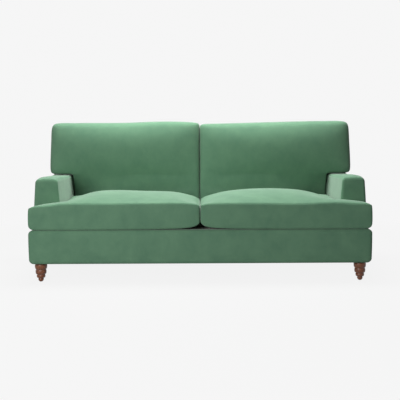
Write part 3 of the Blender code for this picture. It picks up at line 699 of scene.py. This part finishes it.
def makeSeatCage(side, sign):
    s = seatCushion
    gap, space, draw, edge, cell = s["gap"], s["room"], s["drawIn"], s["edge"], s["cell"]
    low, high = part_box(f"{side}_seat_cushion")
    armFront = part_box(f"{side}_arm")[0].y
    inner = gap["middle"]
    main = float(armInnerAt(low.z)) - gap["arm"]
    outer = max(abs(low.x), abs(high.x)) + s["grow"]["outer"] - draw
    front = low.y - s["grow"]["front"] + draw
    earBack = armFront - gap["ear"]
    rear = high.y - gap["rear"]
    bottom = low.z + gap["base"]
    top = bottom + s["border"]
    xs = spread(inner, main, edge, cell) + spread(main, outer, edge, cell)[1:]
    ys = spread(front, earBack, s["frontEdge"], cell, edge) + spread(earBack, rear, edge, cell)[1:]
    zs = spread(bottom, top, edge, cell, s["frontEdge"])

    def keep(x, y, z):
        return x < main or y < earBack

    def place(x, y, z):
        rise = (z - bottom) / (top - bottom)
        fromMiddle = x - inner
        across = curveThrough(s[side]["crown"], fromMiddle / (main - inner))
        along = dome(y, front, rear) ** s["crownRound"]
        beside = math.exp(-((y - (front + earBack) / 2) / s["earFade"]) ** 2)
        beside *= softStep(x, main - s["earReach"][0], main - s["earReach"][1])
        onEar = dome(y, front, earBack) ** 0.5 * (1 - max(0.0, x - main) / (outer - main))
        blend = softStep(x, main - s["earBlend"][0], main + s["earBlend"][1])
        ear = s[side]["ear"] * (beside + (onEar - beside) * blend)
        crown = s["crown"] * across * along + ear + curveThrough(s[side]["seamLine"], x / outer)
        fades = [math.exp(-fromMiddle / reach) for reach in s["cornerReach"]]
        lift = sum(tall * fade for tall, fade in zip(s["cornerLift"], fades))
        depth, reach = s["rearSink"]
        sink = s["cornerDrop"] * fades[0] + depth * math.exp(-fromMiddle / reach) * softStep(y, front, rear)
        lift = lift * (1 - rise) ** 3 - sink * rise ** 3
        lean = float(armInnerAt(z) - armInnerAt(bottom)) * softStep(x, s["leanFrom"], main)
        lean *= softStep(y, earBack - s["leanDepth"][0], earBack + s["leanDepth"][1])
        if x > main:
            x, z = roundBox((x, z), (-farOff, bottom), (outer, top), (s["endRound"],) * 2)
        return sign * (x + lean), y, z + crown * rise ** 2 + lift

    def pinned(x, y, z):
        onRim = x in (inner, outer) or y in (front, rear) or (x == main and y >= earBack) or (
            y == earBack and x >= main)
        return 1.0 if onRim and z in (bottom, top) else 0.0

    def room(start, end):
        # keeps the swollen cover clear of the arm, the other cushion, the back and the base
        x, y, z = sign * end[:, 0], end[:, 1], end[:, 2]
        x0, y0 = sign * start[:, 0], start[:, 1]
        x = np.clip(x, space["middle"], outer + draw + space["outer"])
        x = np.where(y0 > earBack + cageSlack, np.minimum(x, armInnerAt(z) - space["arm"]), x)
        y = np.clip(y, low.y - space["front"], high.y)
        y = np.where(x0 > main + cageSlack, np.minimum(y, armFront - space["ear"]), y)
        return np.stack([sign * x, y, np.maximum(z, low.z)], 1)

    return latticeSkin((xs, ys, zs), place, keep, pinned), room


backCushion = {
    "edge": 0.036,
    "armEdge": 0.012,       # the seam beside the arm is sharper
    "cell": 0.046,
    "depth": 0.19,          # of the cage, before its profile is given
    "drawIn": 0.007,
    "grow": 0.010,          # past the solid's outer end
    "gap": {"middle": 0.0014, "arm": 0.002, "ear": 0.005, "ledge": 0.0002, "top": 0.010, "panel": 0.003},
    "room": {"middle": 0.0006, "arm": 0.001, "ear": 0.002, "outer": 0.002, "top": 0.008, "panel": 0.0012},
    "seatTop": 0.54,        # below this the front stays behind the seat cushions' rear
    "seatRear": 0.2195,
    "sideThickness": 0.165,
    "sideThinning": 0.018,  # from foot to top
    "foot": 0.014,          # the foot of the cushion is fuller, and fills the gap behind the seat
    "footRise": (0.02, 0.24),
    "profile": (            # share of the height, thickness in the middle of the width
        (0.0, 0.160), (0.08, 0.166), (0.16, 0.160), (0.24, 0.160), (0.33, 0.172), (0.45, 0.194),
        (0.60, 0.216), (0.75, 0.229), (0.86, 0.230), (0.93, 0.217), (1.0, 0.180)),
    "waveFrom": 0.6,        # share of the height from which the top line's wave comes in
    "narrowFrom": (0.6, 0.55),       # place across and share of the height where the ear starts to draw in
    "leanFrom": 0.5,
    "topCorner": 0.034,
    "earCorner": 0.019,
    "gapSlant": 0.005,      # the gap between the cushions runs a little askew, so nothing shows through
    "slantReach": 0.3,
    "hollow": 0.052,        # how far the lower outer corner falls back beside the arm
    "hollowReach": (0.2, 0.12),
    "cap": 0.024,
    "crease": 0.0020,
    "stuffing": {"pressure": 4.0, "tension": 18.0, "bending": 0.8},
    "left": {"narrow": 0.005, "grow": 0.002, "top": (
        (0.0, 0.002), (0.10, 0.009), (0.30, 0.011), (0.48, 0.004), (0.75, 0.004), (1.0, 0.006))},
    "right": {"narrow": 0.006, "grow": 0.008, "top": (
        (0.0, -0.006), (0.10, -0.005), (0.50, 0.004), (0.80, 0.010), (0.95, 0.011), (1.0, 0.011))},
}


def makeBackCage(side, sign):
    s = backCushion
    gap, space, draw, edge, cell = s["gap"], s["room"], s["drawIn"], s["edge"], s["cell"]
    low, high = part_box(f"{side}_back_cushion")
    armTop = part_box(f"{side}_arm")[1].z
    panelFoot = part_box("back_panel")[0]
    inner = gap["middle"]
    main = float(armInnerAt(low.z)) - gap["arm"]
    outer = max(abs(low.x), abs(high.x)) + s["grow"] - draw + s[side]["grow"]
    bottom = low.z + gap["ledge"]
    earBottom = armTop + gap["ear"]
    top = high.z - gap["top"]
    xs = spread(inner, main, edge, cell, s["armEdge"]) + spread(main, outer, edge, cell)[1:]
    zs = spread(bottom, earBottom, edge, cell, s["armEdge"]) + spread(earBottom, top, edge, cell)[1:]
    depths = spread(0.0, s["depth"], edge, cell)

    def panelAt(z):
        return panelFoot.y + (z - panelFoot.z) * backLean

    def slant(depth):
        return s["gapSlant"] * (0.5 - depth / s["depth"])

    def keep(x, depth, z):
        return x < main or z > earBottom

    def place(x, depth, z):
        rise = (z - bottom) / (top - bottom)
        share = depth / s["depth"]
        full = curveThrough(s["profile"], rise)
        belly = dome(x, inner, main if z < earBottom else outer) ** 0.5
        foot = s["foot"] * (1 - softStep(rise, *s["footRise"]))
        thick = s["sideThickness"] - s["sideThinning"] * rise + foot
        wave = curveThrough(s[side]["top"], (x - inner) / (outer - inner))
        wave *= softStep(rise, s["waveFrom"], 1.0)
        narrow = s[side]["narrow"] * softStep(x, s["narrowFrom"][0], outer)
        narrow *= softStep(rise, s["narrowFrom"][1], 1.0)
        lean = float(armInnerAt(min(z, earBottom)) - armInnerAt(bottom))
        lean *= softStep(x, s["leanFrom"], main) * (1 - softStep(x, main, outer))
        hollow = s["hollow"] * softStep(x, main - s["hollowReach"][0], main)
        hollow *= 1 - softStep(z, earBottom - s["hollowReach"][1], earBottom)
        forward = share * (thick - hollow) + (full - thick) * belly * share ** 2
        y = panelAt(z) - gap["panel"] - forward
        x, z = roundBox((x, z), (-farOff, -farOff), (outer, top), (s["topCorner"],) * 2)
        if x > main:
            x, z = roundBox((x, z), (-farOff, earBottom), (outer, farOff), (s["earCorner"],) * 2)
        askew = slant(depth) * (1 - softStep(x, 0.0, s["slantReach"]))
        return sign * (x - narrow + lean) + askew, y, z + wave

    def pinned(x, depth, z):
        onRim = x in (inner, outer) or z in (bottom, top) or (x == main and z <= earBottom) or (
            z == earBottom and x >= main)
        return 1.0 if onRim and depth in (0.0, s["depth"]) else 0.0

    def room(start, end):
        # keeps the swollen cover clear of the arm, the other cushion, the panel and the seat
        x, y, z = sign * end[:, 0], end[:, 1], end[:, 2]
        x0, z0 = sign * start[:, 0], start[:, 2]
        x = np.clip(x, space["middle"] + sign * slant(panelAt(z) - y), outer + draw + space["outer"])
        x = np.where(z0 < earBottom - cageSlack, np.minimum(x, armInnerAt(z) - space["arm"]), x)
        z = np.clip(z, low.z, high.z + space["top"])
        z = np.where(x0 > main + cageSlack, np.maximum(z, armTop + space["ear"]), z)
        y = np.minimum(y, panelAt(z) - space["panel"])
        y = np.where(z0 < s["seatTop"], np.maximum(y, s["seatRear"]), y)
        return np.stack([sign * x, y, z], 1)

    return latticeSkin((xs, depths, zs), place, keep, pinned), room


mattress = {
    "cell": 0.012,
    "layers": 4,
    "quilt": 10,             # cells between the rows of a diamond
    "puff": 0.0055,          # how far the quilting stands over its stitching
    "inset": 0.003,
    "radius": 0.011,
    "cap": 0.007,
    "crease": 0.0024,        # the quilting's stitches sink this far
    "stuffing": {"pressure": 22.0, "tension": 7.0, "bending": 0.3},
    "sections": (("head", 1), ("middle", -1), ("foot", 1)),   # which way each sleeping face looks when folded
}


def makeMattressCage(section, facing):
    s = mattress
    low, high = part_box(f"{section}_mattress")
    inset = Vector((s["inset"], s["inset"], 0.0))
    small, large = low + inset, high - inset
    if facing > 0:
        large.z -= s["puff"]
    else:
        small.z += s["puff"]
    counts = [round((large[a] - small[a]) / s["cell"]) for a in range(2)] + [s["layers"]]
    steps = [evenly(small[a], large[a], counts[a]) for a in range(3)]
    rank = [{value: i for i, value in enumerate(step)} for step in steps]
    under, sleeping = (steps[2][0], steps[2][-1])[::facing]

    def place(x, y, z):
        return roundBox((x, y, z), small, large, (s["radius"],) * 3)

    def pinned(x, y, z):
        i, j = rank[0][x], rank[1][y]
        onRim = i in (0, counts[0]) or j in (0, counts[1])
        stitched = onRim or (i + j) % s["quilt"] == 0 or (i - j) % s["quilt"] == 0
        return 1.0 if z == under or (z == sleeping and stitched) else 0.0

    def room(start, end):
        return np.clip(end, np.array(low), np.array(high))

    return latticeSkin(steps, place, None, pinned), room


def coordinates(mesh):
    flat = np.zeros(len(mesh.vertices) * 3, np.float32)
    mesh.vertices.foreach_get("co", flat)
    return flat.reshape(-1, 3).astype(float)


def moveTo(mesh, spots):
    mesh.vertices.foreach_set("co", spots.astype(np.float32).ravel())
    mesh.update()


def seamHold(piece):
    hold = np.zeros(len(piece.data.vertices))
    for vertex in piece.data.vertices:
        for group in vertex.groups:
            hold[vertex.index] = group.weight
    return hold


def fillCushions(cushions):
    # Blender's cloth blows every cover up from inside at once, with its seams held
    for piece, settings, room in cushions:
        cloth = piece.modifiers.new("filling", "CLOTH")
        filling = settings["stuffing"]
        cloth.settings.use_pressure = True
        cloth.settings.uniform_pressure_force = filling["pressure"]
        cloth.settings.tension_stiffness = filling["tension"]
        cloth.settings.compression_stiffness = filling["tension"]
        cloth.settings.bending_stiffness = filling["bending"]
        cloth.settings.vertex_group_mass = "seam"
        cloth.settings.pin_stiffness = 40.0
        cloth.settings.effector_weights.gravity = 0.0
        cloth.point_cache.frame_start = 1
        cloth.point_cache.frame_end = fillingFrames
    for number in range(1, fillingFrames + 1):
        scene.frame_set(number)
    graph = bpy.context.evaluated_depsgraph_get()
    results = [coordinates(piece.evaluated_get(graph).data) for piece, settings, room in cushions]
    for piece, settings, room in cushions:
        piece.modifiers.clear()
    scene.frame_set(1)
    return results


cushions = []
softBodies = {}      # body, node, slot, fill and the side that creases, or 0 for all sides
for side, sign in (("left", -1), ("right", 1)):
    for kind, makeCage, settings, fill in (
            ("Seat", makeSeatCage, seatCushion, 0.8), ("Back", makeBackCage, backCushion, 0.7)):
        shape, room = makeCage(side, sign)
        cushion = linkPiece(f"{side}{kind}Cushion", shape, ("velvet",))
        cushion.vertex_groups.new(name="seam")
        subdivide(cushion, 2)
        applied(cushion)
        cushions.append((cushion, settings, room))
        node = f"{side}_{kind.lower()}_cushion"
        softBodies[cushion.name] = (node, node, "upholstery", fill, 0)
for section, facing in mattress["sections"]:
    shape, room = makeMattressCage(section, facing)
    pad = linkPiece(f"{section}Mattress", shape, ("ticking",))
    pad.vertex_groups.new(name="seam")
    cushions.append((pad, mattress, room))
    softBodies[pad.name] = (f"{section}_section", f"{section}_mattress", "ticking", 0.5, facing)
starts = [coordinates(piece.data) for piece, settings, room in cushions]
ends = fillCushions(cushions)
for (piece, settings, room), start, end in zip(cushions, starts, ends):
    body, node, slot, fill, facing = softBodies[piece.name]
    cap = settings["cap"]
    move = end - start
    far = np.linalg.norm(move, axis=1, keepdims=True)
    placed = room(start, start + move * (cap * np.tanh(far / cap) / np.maximum(far, 1e-9)))
    moveTo(piece.data, placed)
    normals = np.zeros(placed.size, np.float32)
    piece.data.vertices.foreach_get("normal", normals)
    normals = normals.reshape(-1, 3)
    depth = settings["crease"] * seamHold(piece) ** 2
    if facing:
        depth *= normals[:, 2] * facing > 0.5        # a mattress creases on its sleeping face alone
    moveTo(piece.data, placed - normals * depth[:, None])
    print(piece.name, "swelled by", round(float(far.max()) * 1000, 1), "mm, kept under", cap * 1000, "mm")
    subdivide(piece, 1)
    settle(piece, body, slot, node)
print("cushions filled")


class Tree(Maker):
    # a Geometry Nodes tree with named inputs, each given with its kind
    def __init__(self, name, **inputs):
        super().__init__(bpy.data.node_groups.new(name, "GeometryNodeTree"))
        self.identifiers = {}
        for title, kind in (("Geometry", "Geometry"), *inputs.items()):
            made = self.tree.interface.new_socket(title, in_out="INPUT", socket_type=f"NodeSocket{kind}")
            self.identifiers[title] = made.identifier
        self.tree.interface.new_socket("Geometry", in_out="OUTPUT", socket_type="NodeSocketGeometry")
        self.start = self.tree.nodes.new("NodeGroupInput")
        self.end = self.tree.nodes.new("NodeGroupOutput")

    def given(self, title):
        return Wire(self, self.start.outputs[title])

    def shifted(self, geometry, shift):
        return self.node("GeometryNodeTransform", {"Geometry": geometry, "Translation": shift})

    def close(self, geometry, finish):
        real = self.node("GeometryNodeRealizeInstances", {0: geometry})
        coated = self.node("GeometryNodeSetMaterial", {"Geometry": real, "Material": finishes[finish]})
        self.plug(self.end.inputs[0], coated)

    def grow(self, piece, **values):
        # runs the tree on a piece and leaves a plain mesh
        maker = piece.modifiers.new(self.tree.name, "NODES")
        maker.node_group = self.tree
        for title, value in values.items():
            maker[self.identifiers[title]] = value
        applied(piece)


turnedLeg = {
    "beads": ((0.0370, 0.036), (0.0328, 0.031), (0.0258, 0.022), (0.0176, 0.0227)),   # radius, height
    "neck": 0.0055,          # depth of the cut between beads
    "footTaper": 0.0060,
    "chamfer": {"top": 0.001, "foot": 0.002},
    "points": 9,
    "sides": 40,
    "top": 0.1117,
    "span": (1.918, 0.90),   # between leg centres
}


def makeLegMesh():
    s = turnedLeg
    shape = bmesh.new()
    # each ring's last value is painted shade: darker in the necks between beads, at the top rim and at the
    # foot
    groove = shape.verts.layers.float.new("groove")
    rings = []
    height = s["top"]
    for number, (radius, tall) in enumerate(s["beads"], 1):
        for i in range(s["points"]):
            share = (i + 0.5) / s["points"]
            bulge = math.sqrt(max(0.0, 1 - (2 * share - 1) ** 2))
            taper = s["footTaper"] * share ** 2 if number == len(s["beads"]) else 0.0
            cut = 1 - bulge
            rings.append((radius - s["neck"] * cut - taper, height - tall * share, cut ** 1.5))
        height -= tall
    # painted shade at the top rim, and full painted shade at the foot
    rings.insert(0, (rings[0][0] - s["chamfer"]["top"], s["top"], 0.6))
    rings.append((rings[-1][0] - s["chamfer"]["foot"], 0.0, 1.0))
    loops = ringSkin(shape, [ring[:2] for ring in rings], s["sides"])
    for (radius, z, shade), loop in zip(rings, loops):
        for corner in loop:
            corner[groove] = shade
    return shape


def makeLegs():
    tree = Tree("fourLegs", spanX="Float", spanY="Float")
    corners = tree.node("GeometryNodeMeshGrid", {
        "Size X": tree.given("spanX"), "Size Y": tree.given("spanY"), "Vertices X": 2, "Vertices Y": 2})
    legs = tree.node("GeometryNodeInstanceOnPoints", {
        "Points": corners, "Instance": tree.given("Geometry")})
    tree.close(legs, "beech")
    piece = linkPiece("turnedLegs", makeLegMesh(), ("beech",))
    tree.grow(piece, spanX=turnedLeg["span"][0], spanY=turnedLeg["span"][1])
    settle(piece, "carcass", "turned_wood",
           "front_left_leg", "front_right_leg", "rear_left_leg", "rear_right_leg")


makeLegs()
print("legs turned")


backStitching = {"inset": 0.034, "rowGap": 0.009, "rows": 2, "steps": 60,
                 "pitch": 0.0095, "length": 0.0066, "thick": 0.0013}


def makeStitchTree():
    tree = Tree("stitches", pitch="Float", length="Float", thick="Float")
    path = tree.node("GeometryNodeMeshToCurve", {"Mesh": tree.given("Geometry")})
    dots = tree.node("GeometryNodeCurveToPoints", {
        "Curve": path, "Length": tree.given("pitch")}, mode="LENGTH")
    tangent = Wire(tree, dots.socket.node.outputs["Tangent"])
    turn = tree.node("FunctionNodeAlignRotationToVector", {"Vector": tangent}, axis="X")
    grain = tree.node("GeometryNodeMeshUVSphere", {"Segments": 6, "Rings": 4, "Radius": 0.5})
    size = tree.node("ShaderNodeCombineXYZ", {
        0: tree.given("length"), 1: tree.given("thick"), 2: tree.given("thick")})
    stitch = tree.node("GeometryNodeTransform", {"Geometry": grain, "Scale": size})
    rows = tree.node("GeometryNodeInstanceOnPoints", {
        "Points": dots, "Instance": stitch, "Rotation": turn})
    tree.close(rows, "greenThread")
    return tree


def addBackStitching():
    s = backStitching
    low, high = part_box("back_panel")
    shape = bmesh.new()
    for row in range(s["rows"]):
        inset = s["inset"] + row * s["rowGap"]
        left, right = low.x + inset, high.x - inset
        foot, top = low.z + inset, high.z - inset
        corners = [(left, foot), (right, foot), (right, top), (left, top)]
        loop = []
        for (x0, z0), (x1, z1) in zip(corners, corners[1:] + corners[:1]):
            for i in range(s["steps"]):
                x = x0 + (x1 - x0) * i / s["steps"]
                z = z0 + (z1 - z0) * i / s["steps"]
                swell = backCover["rearBelly"] * math.sin(math.pi * (z - low.z) / (high.z - low.z))
                loop.append(shape.verts.new((x, high.y + swell, z)))
        for first, second in zip(loop, loop[1:] + loop[:1]):
            shape.edges.new((first, second))
    piece = linkPiece("backStitching", shape, ())
    makeStitchTree().grow(piece, pitch=s["pitch"], length=s["length"], thick=s["thick"])
    settle(piece, "carcass", "upholstery")


addBackStitching()
print("back panel stitched")


mattressTape = {"radius": 0.0030, "inset": 0.0062, "corner": 0.012, "upper": 0.0087, "lower": 0.0033}


def makeTapeTree():
    tree = Tree("edgeTape", width="Float", depth="Float", corner="Float", radius="Float",
                first="Vector", second="Vector")
    sheet = tree.node("GeometryNodeCurvePrimitiveQuadrilateral", {
        "Width": tree.given("width"), "Height": tree.given("depth")})
    rim = tree.node("GeometryNodeFilletCurve", {
        "Curve": sheet, "Count": 6, "Radius": tree.given("corner")}, mode="POLY")
    ring = tree.node("GeometryNodeCurvePrimitiveCircle", {
        "Resolution": 10, "Radius": tree.given("radius")})
    tape = tree.node("GeometryNodeCurveToMesh", {"Curve": rim, "Profile Curve": ring})
    levels = [tree.shifted(tape, tree.given(level)) for level in ("first", "second")]
    tree.close(tree.node("GeometryNodeJoinGeometry", {0: levels}), "bindingTape")
    return tree


def addMattressTape():
    t = mattressTape
    tree = makeTapeTree()
    for section, facing in mattress["sections"]:
        low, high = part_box(f"{section}_mattress")
        middle = (low + high) / 2
        under, sleeping = (low.z, high.z)[::facing]
        piece = linkPiece(f"{section}MattressTape", bmesh.new(), ())
        tree.grow(piece, width=high.x - low.x - 2 * t["inset"], depth=high.y - low.y - 2 * t["inset"],
                  corner=t["corner"], radius=t["radius"],
                  first=(0.0, middle.y, sleeping - facing * t["upper"]),
                  second=(0.0, middle.y, under + facing * t["lower"]))
        settle(piece, f"{section}_section", "ticking")


addMattressTape()
print("mattress edges bound")


def makeRowsTree():
    # two rows along Y of the piece's own mesh, turned over where the rows face down
    tree = Tree("twoRows", across="Float", start="Vector", step="Float", count="Int", turn="Vector")
    along = tree.node("ShaderNodeCombineXYZ", {1: tree.given("step")})
    line = tree.node("GeometryNodeMeshLine", {
        "Count": tree.given("count"), "Start Location": tree.given("start"), "Offset": along}, mode="OFFSET")
    shifts = [tree.node("ShaderNodeCombineXYZ", {0: tree.given("across") * side}) for side in (-1, 1)]
    both = tree.node("GeometryNodeJoinGeometry", {0: [tree.shifted(line, shift) for shift in shifts]})
    heads = tree.node("GeometryNodeInstanceOnPoints", {
        "Points": both, "Instance": tree.given("Geometry"), "Rotation": tree.given("turn")})
    tree.close(heads, "zinc")
    return tree


def addRows(tree, name, shape, body, settings, span, across, z, facing):
    low, high = span[0] + settings["edge"], span[1] - settings["edge"]
    count = max(2, round((high - low) / settings["spacing"]) + 1)
    piece = linkPiece(name, shape, ())
    tree.grow(piece, across=across, start=(0.0, low, z), step=(high - low) / (count - 1), count=count,
              turn=(0.0 if facing > 0 else math.pi, 0.0, 0.0))
    settle(piece, body, "plated_steel")
    return piece


deckRivets = {
    "radius": 0.0050, "height": 0.0019, "sides": 10, "spacing": 0.062, "edge": 0.03,
    "profile": ((1.0, 0.0), (0.94, 0.45), (0.72, 0.8), (0.38, 0.97)),      # shares of radius and height
}


def addDeckRivets(tree):
    d = deckRivets
    for section, facing in mattress["sections"]:
        low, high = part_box(f"{section}_deck")
        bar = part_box(f"{section}_right_bar")
        head = bmesh.new()
        ringSkin(head, [(d["radius"] * wide, d["height"] * tall) for wide, tall in d["profile"]], d["sides"])
        addRows(tree, f"{section}DeckRivets", head, f"{section}_section", d, (low.y, high.y),
                (bar[0].x + bar[1].x) / 2, high.z if facing > 0 else low.z, facing)


mountBolts = {
    "radius": 0.0085, "height": 0.0055, "washer": 0.0125, "washerThick": 0.0014, "washerSides": 24,
    "chamfer": (0.86, 0.85),     # width of the head's top and height of its shoulder, as shares
    "spacing": 0.11, "edge": 0.05, "fromEdge": 0.022, "railThick": 0.005,
}
battens = {"radii": (0.003, 0.003, 0.003), "cell": 0.04, "turns": 3, "size": (0.042, 0.036), "gap": 0.0004,
           "overhang": 0.02}


def addMountings(tree):
    m = mountBolts
    low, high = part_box("right_mounting_rail")
    bolt = bmesh.new()
    ringSkin(bolt, [(m["washer"], 0.0), (m["washer"], m["washerThick"])], m["washerSides"])
    ringSkin(bolt, [(m["radius"], m["washerThick"]), (m["radius"], m["height"] * m["chamfer"][1]),
                    (m["radius"] * m["chamfer"][0], m["height"])], 6)
    bolts = addRows(tree, "mountBolts", bolt, "carcass", m, (low.y, high.y), high.x - m["fromEdge"],
                    low.z + m["railThick"], 1)
    bolts.data.shade_flat()
    wide, tall = battens["size"]
    top = low.z - battens["gap"]
    block = (high.x - wide, low.y - battens["overhang"], top - tall), (
        high.x - battens["gap"], high.y + battens["overhang"], top)
    for side, sign in (("left", -1), ("right", 1)):
        batten = boxPiece(f"{side}Batten", "timber", *block, battens, lambda x, y, z: (sign * x, y, z))
        settle(batten, "carcass", "timber")


footSleeve = {
    "radius": 0.0086, "bore": 0.0066, "length": 0.055, "places": (0.30, 0.62), "ribs": 5, "sides": 20,
    "rib": ((0.88, 0.08), (1.0, 0.30), (1.0, 0.70), (0.88, 0.92)),      # shares of radius and pitch
}


def addFootSleeves(body, node):
    f = footSleeve
    low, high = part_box(node)
    middle = (low + high) / 2
    pitch = f["length"] / f["ribs"]
    ribs = [(f["radius"] * wide, pitch * (rib + share))
            for rib in range(f["ribs"]) for wide, share in f["rib"]]
    shape = bmesh.new()
    for centre in [side * far for side in (-1, 1) for far in f["places"]]:
        ringSkin(shape, [(f["bore"], 0.0), *ribs, (f["bore"], f["length"])], f["sides"], 0,
                 (centre - f["length"] / 2, middle.y, middle.z))
    piece = linkPiece(body.split("_")[0] + "FootSleeves", shape, ("rubber",))
    piece.data.set_sharp_from_angle(angle=math.radians(35))
    settle(piece, body, "painted_steel")


dustCover = {"legRoom": 0.045, "edge": 0.030, "below": 0.0012, "thick": 0.0006, "sag": 0.010, "sagRound": 0.6,
             "free": (0.95, 0.9), "cells": (40, 20)}      # free: share of the width and depth that can sag


def addDustCover():
    # a black sheet under the base between the legs, sagging a little
    d = dustCover
    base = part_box("left_base_side")
    right = turnedLeg["span"][0] / 2 - d["legRoom"]
    front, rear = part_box("front_rail")[0].y + d["edge"], base[1].y - d["edge"]
    bottom = base[0].z - d["below"] - d["thick"]
    steps = (evenly(-right, right, d["cells"][0]), evenly(front, rear, d["cells"][1]), [0.0, d["thick"]])
    freeX, freeY = d["free"]

    def place(x, y, layer):
        hang = dome(x, -right * freeX, right * freeX) * dome(y, front * freeY, rear * freeY)
        return x, y, bottom - d["sag"] * hang ** d["sagRound"] + layer

    sheet = linkPiece("dustCover", latticeSkin(steps, place), ("cambric",))
    sheet.data.set_sharp_from_angle(angle=math.radians(60))
    settle(sheet, "carcass", "webbing")


rows = makeRowsTree()
addDeckRivets(rows)
addMountings(rows)
for section in ("middle", "foot"):
    addFootSleeves(f"{section}_legs", f"{section}_leg_bar")
addDustCover()
print("rivets, bolts, battens, foot sleeves and dust cover fitted")


studio = {
    "eye": (0.0, -5.85, 0.960),
    "lens": 80.75,
    "sensor": 36.0,
    "shift": (0.0008, -0.1975),
    "roll": 0.005,           # the photo stands a little askew
    "backdrop": 0.92,
    "ambient": 0.056,
    "floorReach": 40.0,
    "floorShade": 0.05,      # how much of the shadow the floor keeps
    "shadeFade": (1.0, 3.2),     # and over what distance that runs out
    "floorBounce": 0.30,
    "floorTone": 0.65,       # lit floor as bright as the backdrop
    "lamps": (
        # name, place, target, width, depth, watts
        ("overhead", (-0.12, 0.30, 2.9), (-0.08, 0.05, 0.3), 2.5, 1.5, 153),
        ("front", (-1.6, -3.7, 1.4), (0.0, 0.0, 0.4), 1.6, 1.4, 90),
    ),
}
white = (1.0, 1.0, 1.0, 1.0)


def addCamera():
    camera = bpy.data.objects.new("camera", bpy.data.cameras.new("camera"))
    scene.collection.objects.link(camera)
    camera.location = studio["eye"]
    camera.rotation_euler = (math.pi / 2, studio["roll"], 0)
    camera.data.lens = studio["lens"]
    camera.data.sensor_width = studio["sensor"]
    camera.data.shift_x, camera.data.shift_y = studio["shift"]
    scene.camera = camera


def addLamps():
    for name, place, target, width, depth, watts in studio["lamps"]:
        lamp = bpy.data.objects.new(name, bpy.data.lights.new(name, "AREA"))
        scene.collection.objects.link(lamp)
        lamp.data.shape = "RECTANGLE"
        lamp.data.size = width
        lamp.data.size_y = depth
        lamp.data.energy = watts
        lamp.location = place
        lamp.rotation_euler = (Vector(target) - Vector(place)).to_track_quat("-Z", "Y").to_euler()


def addBackdrop():
    world = bpy.data.worlds.new("studioWorld")
    scene.world = world
    world.use_nodes = True
    maker = Maker(world.node_tree)
    glow = world.node_tree.nodes["Background"].inputs
    maker.plug(glow["Strength"], maker.node("ShaderNodeMix", {
        0: maker.seenByCamera(), 2: studio["ambient"], 3: studio["backdrop"]}))
    maker.plug(glow["Color"], white)


def addFloor():
    reach = studio["floorReach"]
    shape = bmesh.new()
    shape.faces.new([shape.verts.new((x, y, 0.0)) for x, y in (
        (-reach, -reach), (reach, -reach), (reach, reach), (-reach, reach))])
    f = Finish("paleFloor")
    finishes["floor"] = f.material
    floor = linkPiece("floor", shape, ("floor",))
    f.paint(Base_Color=opaque([studio["floorBounce"]] * 3), Roughness=1.0, Specular_IOR_Level=0.0)
    pale = f.node("ShaderNodeBsdfDiffuse", {"Color": opaque([studio["floorTone"]] * 3)})
    glow = f.node("ShaderNodeEmission", {"Color": white, "Strength": studio["backdrop"]})
    x, y, z = f.parts(f.place())
    near = f.fade((x * x + y * y) ** 0.5, *studio["shadeFade"], studio["floorShade"], 0.0)
    matt = Wire(f, f.shader.outputs[0])
    shown = f.node("ShaderNodeMixShader", {0: near, 1: glow, 2: pale})
    final = f.node("ShaderNodeMixShader", {0: f.seenByCamera(), 1: matt, 2: shown})
    f.plug(f.tree.nodes["Material Output"].inputs["Surface"], final)


addCamera()
addLamps()
addBackdrop()
addFloor()
print("studio set")
